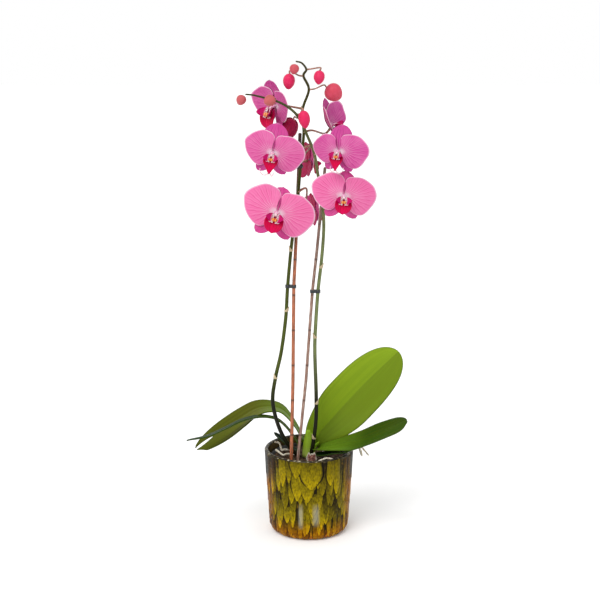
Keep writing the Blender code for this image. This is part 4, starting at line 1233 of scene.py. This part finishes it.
def root_tube(route, radius):
    wander = []
    for x, y, z in smooth_route(route, 8):
        wander.append((x, y, z, radius * (1 + 0.35 * noise.noise(Vector((x, y, z)) * 260))))
    return tube(wander, 12)


for name, (route, radius) in ROOTS.items():
    finished(f"{name}_tube", root_tube(route, radius), (root_skin,), "root", name)
finished("root_over_rim_branch", root_tube(SIDE_ROOT, 0.0013), (root_skin,), "root")
print("roots:", len(ROOTS))

# %% [markdown]
# ## Crown and leaf bases
# The leaves grow from a short crown, and their bases clasp each other in two rows. The crown is a
# lumpy core; three clasping bases hug it, and a dry papery sheath with torn pale edges stands in
# front of it.

# %% Crown
crown_green = leaf_finish("crown_green", hue(182, 204, 92), hue(166, 204, 50), hue(156, 198, 40),
                          0.92, hue(176, 196, 90), 0.4)
crown_low, crown_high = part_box("crown")
crown_centre = [(a + b) / 2 for a, b in zip(crown_low, crown_high)]
crown_half = [(b - a) / 2 for a, b in zip(crown_low, crown_high)]
core = lump(crown_centre, crown_half, shape=lambda d: 1 + 0.06 * math.sin(9 * d.z + 4 * d.x))
CLASPS = [  # turn in degrees from the front, foot radius, height of top, lean out, width in degrees
    (-8, 0.0105, 0.0440, 0.0010, 130), (150, 0.0085, 0.0330, 0.0060, 150), (60, 0.0090, 0.0240, 0.0090, 130)]
bases = []
for turn, radius, height, lean, wide in CLASPS:
    def corner(u, v):
        angle = math.radians(turn + (u - 0.5) * wide * (1 - 0.75 * v ** 2))
        out = radius * (1 - 0.25 * v) + lean * v * v
        return Vector((out * math.sin(angle), -out * math.cos(angle), 0.1135 + height * v))

    bases.append(sheet(12, 10, corner))
finished("crown_core", core, (crown_green,), "crown", "crown")
finished("crown_leaf_bases", joined(bases), (crown_green, None), "crown", thickness=0.0012)

# %% Papery sheath
paper = paint("dry_sheath", Roughness=0.8)
uv = coordinate(paper, "UV")
crumple = cloud(paper, coordinate(paper, "Object"), 420.0, 4.0)
grid = axes(paper, uv)
from_edge = calc(paper, "ABSOLUTE", calc(paper, "MULTIPLY_ADD", grid["X"], 2.0, -1.0))
edge = calc(paper, "MAXIMUM", span(paper, from_edge, 0.62, 0.92), span(paper, grid["Y"], 0.80, 0.96))
dry = ramp(paper, crumple, (0.32, hue(84, 48, 38)), (0.50, hue(150, 92, 78)), (0.68, hue(204, 150, 132)))
apply(paper, mixed(paper, edge, dry, hue(240, 232, 214)), height=crumple, depth=0.0008)


def sheath_corner(u, v):
    angle = math.radians(-2 + (u - 0.5) * 95)
    torn = 0.0050 * noise.noise(Vector((u * 6, 2.0, 0.0))) - 0.010 * (2 * u - 1) ** 4
    crease = 0.0024 * noise.noise(Vector((u * 7, v * 4, 4.0)))
    out = 0.0135 + 0.0045 * v + crease
    middle = Vector((0.0040, -0.0190, 0.1120))
    return middle + Vector((out * 0.62 * math.sin(angle), -out * 0.5 * math.cos(angle), (0.0150 + torn) * v))


finished("crown_dry_sheath", sheet(22, 12, sheath_corner), (paper, None), "crown", thickness=0.0004)
print("crown: core,", len(CLASPS), "bases and a dry sheath")

# %% [markdown]
# ## Petals and sepals
# Each flower has two very broad petals that almost hide three sepals behind them: one upright and two
# pointing down. A petal is a fan that starts from a narrow claw beside the centre. Lines of equal U
# run from the claw to the edge, which is how the veins run, so the vein pattern is painted in UV.

# %% Petal and sepal shapes
RIGHT_EDGE = [  # angle in degrees from level, and reach as a share of the petal's length
    (87, 0.46), (80, 0.60), (63, 0.71), (47, 0.85), (33, 0.94), (21, 1.02), (10, 1.06), (-1, 1.04),
    (-13, 0.97), (-27, 0.91), (-41, 0.82), (-51, 0.66), (-58, 0.48)]
LEFT_EDGE = [
    (91, 0.46), (82, 0.64), (70, 0.75), (57, 0.86), (42, 0.93), (29, 1.00), (16, 1.05), (5, 0.99),
    (-8, 0.90), (-22, 0.80), (-38, 0.70), (-49, 0.60), (-56, 0.46)]
PETAL_MIDDLE = 8  # the angle of the petal's own middle line
CLAW = 0.045


def swept(x, y, sweep):
    """How far a petal lies behind the flower's plane, for a petal of length 1."""
    return -sweep * (x * x + y * y) ** 0.9


def petal_mesh(edge, side, size, sweep, seed, breadth=1.0, lift=0.0):
    """One petal; breadth narrows its fan, and lift raises its middle line, in degrees."""
    rim = smooth_route(edge, 6)

    def corner(u, v):
        angle, reach = at_share(rim, u)
        if angle > PETAL_MIDDLE:
            spread = 0.72 + 0.28 * v ** 0.7
        else:
            spread = 0.40 + 0.60 * math.sin(min(1.0, v / 0.75) * math.pi / 2)
        turn = math.radians(PETAL_MIDDLE + lift + (angle - PETAL_MIDDLE) * spread * breadth)
        reach *= 1 + 0.018 * noise.noise(Vector((u * 9, seed, 0.0))) * v
        r = CLAW + (reach - CLAW) * v
        x, y = side * r * math.cos(turn), r * math.sin(turn)
        ripple = 0.030 * v ** 3 * noise.noise(Vector((u * 5.0, seed, 1.0)))
        hollow = 0.05 * math.sin(math.pi * v) * (2 * abs(u - 0.45)) ** 2
        return Vector((x, y, swept(x, y, sweep) + ripple + hollow)) * size

    return sheet(36, 20, corner)


def sepal_mesh(middle, length, width, size, sweep, seed):
    """One sepal: an oval that points along its middle angle, behind the petals."""
    turn = math.radians(middle)

    def corner(u, v):
        across = 2 * u - 1
        half = width / 2 * math.sin(math.pi * min(1.0, 0.03 + 0.97 * v) ** 1.3) ** 0.60
        along, aside = v * length, across * half
        x = along * math.cos(turn) - aside * math.sin(turn)
        y = along * math.sin(turn) + aside * math.cos(turn)
        cup = 0.10 * across * across * half + 0.02 * noise.noise(Vector((u * 4, v * 4, seed)))
        cup += 0.035 * math.exp(-(aside / 0.05) ** 2) * (middle == 90)
        return Vector((x, y, swept(x, y, sweep) + cup)) * size - Vector((0, 0, SEPAL_BEHIND))

    return sheet(14, 18, corner)


# %% [markdown]
# ## Petal finish
# The petals are orchid pink with a soft velvety sheen. Darker veins fan out from the claw and fork towards the edge,
# the claw is white, and the very edge is pale. Flowers seen at a slant are painted more violet as a painted sheen,
# which each flower's own tone sets. The backs of sepals are deeper, from magenta to crimson.


# %% Petal and sepal finishes
def petal_finish(name, pink, painted_sheen_violet, vein, edge_colour, veins_wide, claw_white):
    made = paint(name, Roughness=0.6, Specular_IOR_Level=0.12, Sheen_Weight=0.05, Sheen_Roughness=0.4,
                 Sheen_Tint=(0.80, 0.62, 1.0, 1.0))
    uv = coordinate(made, "UV")
    grid = axes(made, uv)
    place = coordinate(made, "Object")
    tone = put(made, "ShaderNodeAttribute", {}, attribute_name="tone").outputs["Fac"]
    sway = cloud(made, stretched(made, uv, (3.0, 4.0, 1.0)), 1.0, 2.0)
    u = calc(made, "ADD", grid["X"], calc(made, "MULTIPLY_ADD", sway, 0.05, -0.025))

    def vein_lines(count, narrow):
        wave = calc(made, "ABSOLUTE", calc(made, "SINE", calc(made, "MULTIPLY", u, math.pi * count)))
        return span(made, wave, narrow, 0.0)

    main = vein_lines(veins_wide, 0.42)
    forks = calc(made, "MULTIPLY", vein_lines(veins_wide * 2, 0.5), span(made, grid["Y"], 0.35, 0.75))
    blotch = cloud(made, place, 60.0, 2.0)
    cells = cloud(made, place, 1500.0, 2.0)
    # Painted sheen: each flower's tone mixes in violet, more on flowers seen at a slant.
    colour = mixed(made, tone, pink, painted_sheen_violet)
    deep = mixed(made, tone, vein, hue(150, 40, 120))
    veins = calc(made, "MAXIMUM", main, calc(made, "MULTIPLY", forks, 0.6))
    fade = calc(made, "MULTIPLY", veins, span(made, grid["Y"], 1.04, 0.75))
    colour = mixed(made, calc(made, "MULTIPLY", fade, 0.80), colour, deep)
    pale_lines = calc(made, "MULTIPLY", vein_lines(veins_wide + 0.5, 0.35), span(made, grid["Y"], 0.95, 0.25))
    colour = mixed(made, calc(made, "MULTIPLY", pale_lines, 0.06 + 0.55 * claw_white), colour, hue(252, 190, 220))
    colour = mixed(made, calc(made, "MULTIPLY", span(made, blotch, 0.40, 0.75), 0.04 + 0.22 * claw_white),
                   colour, hue(250, 160, 204))
    rays = calc(made, "MULTIPLY", vein_lines(veins_wide + 0.5, 0.6), span(made, grid["Y"], 0.50, 0.14))
    white = calc(made, "MAXIMUM", span(made, grid["Y"], 0.22, 0.04), calc(made, "MULTIPLY", rays, 0.8))
    white = calc(made, "MULTIPLY", white, claw_white)
    colour = mixed(made, white, colour, hue(252, 236, 244))
    colour = mixed(made, span(made, grid["Y"], 0.95, 0.99), colour, edge_colour)
    height = calc(made, "MULTIPLY_ADD", veins, -0.7, cells)
    return apply(made, colour, height=height, depth=0.0002, strength=0.45)


petal_front = petal_finish("petal_pink", hue(244, 118, 174), hue(202, 66, 152), hue(214, 62, 130),
                           hue(255, 206, 228), 15, 0.95)
petal_back = petal_finish("petal_reverse", hue(222, 36, 120), hue(206, 30, 124), hue(150, 4, 66),
                          hue(220, 60, 140), 13, 0.2)
sepal_front = petal_finish("sepal_magenta", hue(222, 74, 150), hue(200, 66, 150), hue(170, 34, 110),
                           hue(230, 130, 188), 7, 0.3)
sepal_back = petal_finish("sepal_reverse", hue(214, 20, 90), hue(176, 4, 66), hue(120, 0, 36),
                          hue(176, 14, 80), 7, 0.0)

# %% [markdown]
# ## The lip and the column
# The lip is the landing place for insects. Its middle lobe is a crimson shield that juts forward,
# two magenta side lobes stand up round a yellow callus, and some flowers end the lip in thin curling
# tendrils. Above it stands the column, a short white knob with a pink blush.

# %% Lip shapes
ROUND_SHIELD = [(0.0, 0.55), (0.2, 0.94), (0.42, 1.0), (0.62, 0.93), (0.80, 0.76), (0.92, 0.52), (0.98, 0.25), (1.0, 0.0)]
POINTED_SHIELD = [(0.0, 0.50), (0.2, 0.95), (0.38, 0.90), (0.55, 0.66), (0.72, 0.42), (0.88, 0.22), (1.0, 0.0)]
POINTED = {"flower_mid_left": -1, "flower_mid_right": 1}  # flowers with tendrils, and to which side


def lip_depth(x, y):
    """The lip juts forward and dips down to its point."""
    down = max(0.0, -y)
    return 0.10 + 0.55 * down - 0.55 * down * down + 0.9 * x * x


def share_at(profile, v):
    """The second value of a profile of pairs, at the first value v."""
    for (a, low), (b, high) in zip(profile, profile[1:]):
        if v <= b:
            return low + (high - low) * (v - a) / (b - a)
    return profile[-1][1]


def lip_mesh(name, size):
    tendril_side = POINTED.get(name, 0)
    profile = POINTED_SHIELD if tendril_side else ROUND_SHIELD
    long = 0.62 if tendril_side else 0.49

    def shield(u, v):
        across = 2 * u - 1
        x = across * 0.265 * share_at(profile, v)
        y = -0.05 - long * v + 0.02 * across * across
        keel = 0.03 * math.exp(-(x / 0.03) ** 2) * (1 - v)
        return Vector((x, y, lip_depth(x, y) + keel)) * size + Vector((0, 0, LIP_AHEAD))

    lobes = [sheet(18, 16, shield, 0)]
    for side in (-1, 1):
        def ear(u, v):
            y = -0.125 + (u - 0.5) * 0.25 * math.sqrt(max(0.0, 1 - 0.85 * v * v)) + 0.05 * v
            x = side * (0.035 + 0.205 * v - 0.05 * v * (2 * u - 1) ** 2)
            lift = 0.06 + 0.16 * v ** 1.6 - 0.05 * v * u
            return Vector((x, y, lip_depth(x, y) + lift)) * size + Vector((0, 0, LIP_AHEAD))

        lobes.append(sheet(12, 10, ear, 2))
    return joined(lobes)


def callus_mesh(size):
    lumps = []
    for side in (-1, 1):
        centre = Vector((side * 0.036, -0.155, lip_depth(0.03, -0.155) + 0.10)) * size
        lumps.append(lump(centre + Vector((0, 0, LIP_AHEAD)), Vector((0.042, 0.050, 0.055)) * size,
                          shape=lambda d: 1 + 0.10 * math.sin(7 * d.y + 3 * d.x), slot=0))
        centre = Vector((side * 0.105, -0.215, lip_depth(0.1, -0.21) + 0.07)) * size
        lumps.append(lump(centre + Vector((0, 0, LIP_AHEAD)), Vector((0.046, 0.026, 0.03)) * size,
                          Matrix(), slot=1))
    return joined(lumps)


def column_mesh(size):
    route = [(0.0, 0.035, 0.01, 0.050), (0.0, 0.035, 0.09, 0.056), (0.0, 0.020, 0.17, 0.052),
             (0.0, -0.005, 0.23, 0.045)]
    shaft = tube([[c * size for c in row] for row in smooth_route(route, 4)], 16, 0)
    cap = lump(Vector((0.0, -0.022, 0.245)) * size, Vector((0.050, 0.046, 0.045)) * size, slot=1)
    wings = [lump(Vector((side * 0.055, 0.030, 0.13)) * size, Vector((0.026, 0.040, 0.055)) * size, slot=0)
             for side in (-1, 1)]
    return joined([shaft, cap, *wings])


def tendril_meshes(size, side):
    made = []
    for aim, reach in ((side, 1.0), (-side, 0.55)):
        route = [(0.01 * aim, -0.60, 0.25, 0.020), (0.08 * aim, -0.68, 0.28, 0.019),
                 (0.20 * aim * reach, -0.69, 0.31, 0.018), (0.29 * aim * reach, -0.60, 0.33, 0.016),
                 (0.31 * aim * reach, -0.50, 0.31, 0.011)]
        made.append(tube([[c * size for c in row] for row in smooth_route(route, 5)], 8))
    return made


# %% Lip and column finishes
lip_crimson = paint("lip_crimson", Roughness=0.45, Specular_IOR_Level=0.08)
uv = coordinate(lip_crimson, "UV")
grid = axes(lip_crimson, uv)
velvet = cloud(lip_crimson, coordinate(lip_crimson, "Object"), 900.0, 3.0)
lines = cloud(lip_crimson, stretched(lip_crimson, uv, (22.0, 2.0, 1.0)), 1.0, 2.0)
red = ramp(lip_crimson, grid["Y"], (0.0, hue(186, 4, 92)), (0.30, hue(208, 0, 72)), (0.60, hue(228, 0, 74)),
           (1.0, hue(222, 4, 92)))
red = mixed(lip_crimson, calc(lip_crimson, "MULTIPLY", span(lip_crimson, lines, 0.58, 0.40), 0.45), red,
            hue(150, 4, 44))
apply(lip_crimson, red, height=calc(lip_crimson, "ADD", velvet, lines), depth=0.0002)

ear_magenta = paint("ear_magenta", Roughness=0.45, Specular_IOR_Level=0.1)
uv = coordinate(ear_magenta, "UV")
grid = axes(ear_magenta, uv)
bars = cloud(ear_magenta, stretched(ear_magenta, uv, (9.0, 3.0, 1.0)), 1.0, 3.0)
base_mark = span(ear_magenta, grid["Y"], 0.42, 0.24)
fleck = mixed(ear_magenta, span(ear_magenta, bars, 0.50, 0.60), hue(250, 238, 240), hue(142, 20, 50))
apply(ear_magenta, mixed(ear_magenta, base_mark, hue(206, 14, 108), fleck),
      height=cloud(ear_magenta, coordinate(ear_magenta, "Object"), 1200.0), depth=0.0002)

callus_yellow = paint("callus_yellow", Roughness=0.35, Coat_Weight=0.3)
dots = cloud(callus_yellow, coordinate(callus_yellow, "Object"), 1500.0, 2.0)
apply(callus_yellow, ramp(callus_yellow, dots, (0.40, hue(255, 172, 60)), (0.56, hue(250, 140, 44)),
                          (0.64, hue(196, 50, 40))), height=dots, depth=0.0002)
lip_white = paint("lip_white", Roughness=0.45, Subsurface_Weight=0.1, Subsurface_Scale=0.002)
dots = cloud(lip_white, coordinate(lip_white, "Object"), 1300.0, 2.0)
apply(lip_white, ramp(lip_white, dots, (0.42, hue(252, 236, 238)), (0.60, hue(240, 178, 196)),
                      (0.76, hue(226, 120, 160))), height=dots, depth=0.0001)
column_blush = paint("column_blush", Roughness=0.4, Subsurface_Weight=0.1, Subsurface_Scale=0.002)
dots = cloud(column_blush, coordinate(column_blush, "Object"), 1100.0, 2.0)
apply(column_blush, ramp(column_blush, dots, (0.42, hue(252, 226, 240)), (0.54, hue(240, 150, 196)),
                         (0.66, hue(214, 66, 132))), height=dots, depth=0.0002)

# %% [markdown]
# ## The eight flowers
# Every flower is the same plan at its own size, turned to its own direction, with small seeded
# differences. The meshes are made in the flower's frame and then moved to their place.

# %% Flowers
PETAL_HABITS = {  # breadth and lift of the right and the left petal, where they differ from the plan
    "flower_top_right": ((0.84, 24), (0.84, 24)),
    "flower_mid_right": ((1.0, 0), (0.82, -8)),
    "flower_top_left": ((0.92, 4), (0.92, 4)),
}
LIP_GROWTH = {"flower_top_left": 1.45}
for number, name in enumerate(FLOWERS):
    side_sepal = 0.62 if name.endswith("back") else 0.46
    *_, size, sweep, upright, _, _, painted_sheen_violet = FLOWERS[name]
    matrix = flower_matrix(name)
    seed = 3.7 * number
    (right_breadth, right_lift), (left_breadth, left_lift) = PETAL_HABITS.get(name, ((1, 0), (1, 0)))
    petals = joined([petal_mesh(RIGHT_EDGE, 1, size, sweep, seed, right_breadth, right_lift),
                     petal_mesh(LEFT_EDGE, -1, size, sweep, seed + 1.3, left_breadth, left_lift)])
    sepals = joined([sepal_mesh(90, upright, 0.86 * upright, size, sweep, seed),
                     sepal_mesh(234, 0.80, side_sepal, size, sweep, seed + 1),
                     sepal_mesh(306, 0.80, side_sepal, size, sweep, seed + 2)])
    lip_size = size * LIP_GROWTH.get(name, 1.0)
    lips = lip_mesh(name, lip_size)
    callus, column = callus_mesh(lip_size), column_mesh(size)
    for mesh in (petals, sepals, lips, callus, column):
        mesh.transform(matrix)
        bm = bmesh.new()
        bm.from_mesh(mesh)
        bmesh.ops.recalc_face_normals(bm, faces=bm.faces)
        facing = matrix.to_3x3() @ Vector((0, 0, 1))
        if mesh in (petals, sepals, lips):
            for face in bm.faces:
                if face.normal.dot(facing) < 0:
                    face.normal_flip()
        bm.to_mesh(mesh)
        bm.free()
    finished(f"{name}_petal_pair", petals, (petal_front, petal_back), "petal", f"{name}_petals",
             thickness=PETAL_THICKNESS, tone=painted_sheen_violet)
    finished(f"{name}_sepal_trio", sepals, (sepal_front, sepal_back), "sepal", f"{name}_sepals",
             thickness=PETAL_THICKNESS, tone=painted_sheen_violet)
    finished(f"{name}_lip_lobes", lips, (lip_crimson, lip_crimson, ear_magenta, ear_magenta), "lip", f"{name}_lip",
             thickness=PETAL_THICKNESS)
    finished(f"{name}_callus", callus, (callus_yellow, lip_white), "lip")
    finished(f"{name}_column", column, (column_blush, lip_white), "petal")
    if name in POINTED:
        curls = joined(tendril_meshes(size, POINTED[name]))
        curls.transform(matrix)
        finished(f"{name}_tendrils", curls, (lip_white,), "lip")
print("flowers:", len(FLOWERS))

# %% [markdown]
# ## Buds
# A bud is three folded sepals pressed together, so it is an egg with three shallow seams, broader
# towards its stalk. Young buds are brownish rose, older ones bright crimson pink.


# %% Bud finish
def bud_finish():
    made = paint("bud_skin", Roughness=0.42, Specular_IOR_Level=0.12)
    tone = put(made, "ShaderNodeAttribute", {}, attribute_name="tone").outputs["Fac"]
    seam = put(made, "ShaderNodeAttribute", {}, attribute_name="seam").outputs["Fac"]
    place = coordinate(made, "Object")
    uv = coordinate(made, "UV")
    rough = cloud(made, place, 200.0, 3.0)
    lines = cloud(made, stretched(made, uv, (46.0, 2.0, 1.0)), 1.0, 2.0)
    colour = mixed(made, tone, hue(244, 48, 106), hue(214, 116, 112))
    shade = mixed(made, tone, hue(200, 14, 68), hue(146, 58, 56))
    colour = mixed(made, calc(made, "MULTIPLY", span(made, lines, 0.60, 0.40), 0.6), colour, shade)
    colour = mixed(made, calc(made, "MULTIPLY", span(made, rough, 0.42, 0.70), 0.22), colour, hue(240, 96, 132))
    colour = mixed(made, calc(made, "MULTIPLY", seam, 0.7), colour, shade)
    return apply(made, colour, height=calc(made, "ADD", rough, lines), depth=0.0003, strength=0.5)


bud_skin = bud_finish()


# %% Bud shapes
def bud_mesh(name):
    """An egg about the line of its stalk, with three seams; pointed ones taper more at the free end."""
    centre, away, length, width, *_ = BUDS[name]
    point = 0.5 if name in ("bud_top_right", "bud_centre") else 0.15
    turn = Vector(away).to_track_quat("Z", "Y").to_matrix().to_4x4()
    bm = bmesh.new()
    bmesh.ops.create_uvsphere(bm, u_segments=36, v_segments=20, radius=1.0, calc_uvs=True)
    seam = bm.verts.layers.float.new("seam")
    for vertex in bm.verts:
        x, y, z = vertex.co
        angle = math.atan2(y, x)
        groove = math.exp(-((abs(math.sin(1.5 * angle + 0.4))) / 0.10) ** 2) * (1 - abs(z) ** 3)
        vertex[seam] = groove
        round_off = (1 + 0.12 * z) * (1 + 0.03 * math.cos(3 * angle + 2.6)) * (1 - 0.035 * groove)
        pinch = 1 - point * max(0.0, -z) ** 2.2 * 0.6
        vertex.co = Vector((x * width / 2 * round_off * pinch, y * width / 2 * round_off * pinch, z * length / 2))
    for face in bm.faces:
        face.smooth = True
    bm.transform(Matrix.Translation(centre) @ turn)
    bmesh.ops.recalc_face_normals(bm, faces=bm.faces)
    made = bpy.data.meshes.new(name)
    bm.to_mesh(made)
    bm.free()
    return made


for name, values in BUDS.items():
    finished(f"{name}_egg", bud_mesh(name), (bud_skin,), "bud", name, tone=values[-1])
print("buds:", len(BUDS))

# %% [markdown]
# ## The opening bud
# One bud has begun to open and is seen from behind: its outer sepals overlap like a half-closed
# hand. They are three curved sheets over the egg.

# %% Opening bud
centre, away, length, width, *_ = BUDS["bud_opening"]
turn_bud = Matrix.Translation(centre) @ Vector(away).to_track_quat("Z", "Y").to_matrix().to_4x4()
wraps = []
for number, start in enumerate((200, 320, 80)):
    def corner(u, v):
        angle = math.radians(start + (u - 0.5) * 150 * math.sin(math.pi * min(0.96, 0.12 + 0.8 * v)))
        polar = math.pi * (0.06 + 0.86 * v)
        flare = 1.05 + 0.05 * number + 0.22 * v ** 3
        radius = width / 2 * math.sin(polar) ** 0.8 * flare
        return Vector((radius * math.cos(angle), radius * math.sin(angle), length / 2 * math.cos(polar) * 1.04))

    wraps.append(sheet(14, 14, corner))
opening = joined(wraps)
opening.transform(turn_bud)
finished("bud_opening_sepals", opening, (sepal_back, sepal_back), "bud", thickness=0.0006, tone=0.6)
print("opening bud: 3 sepals")
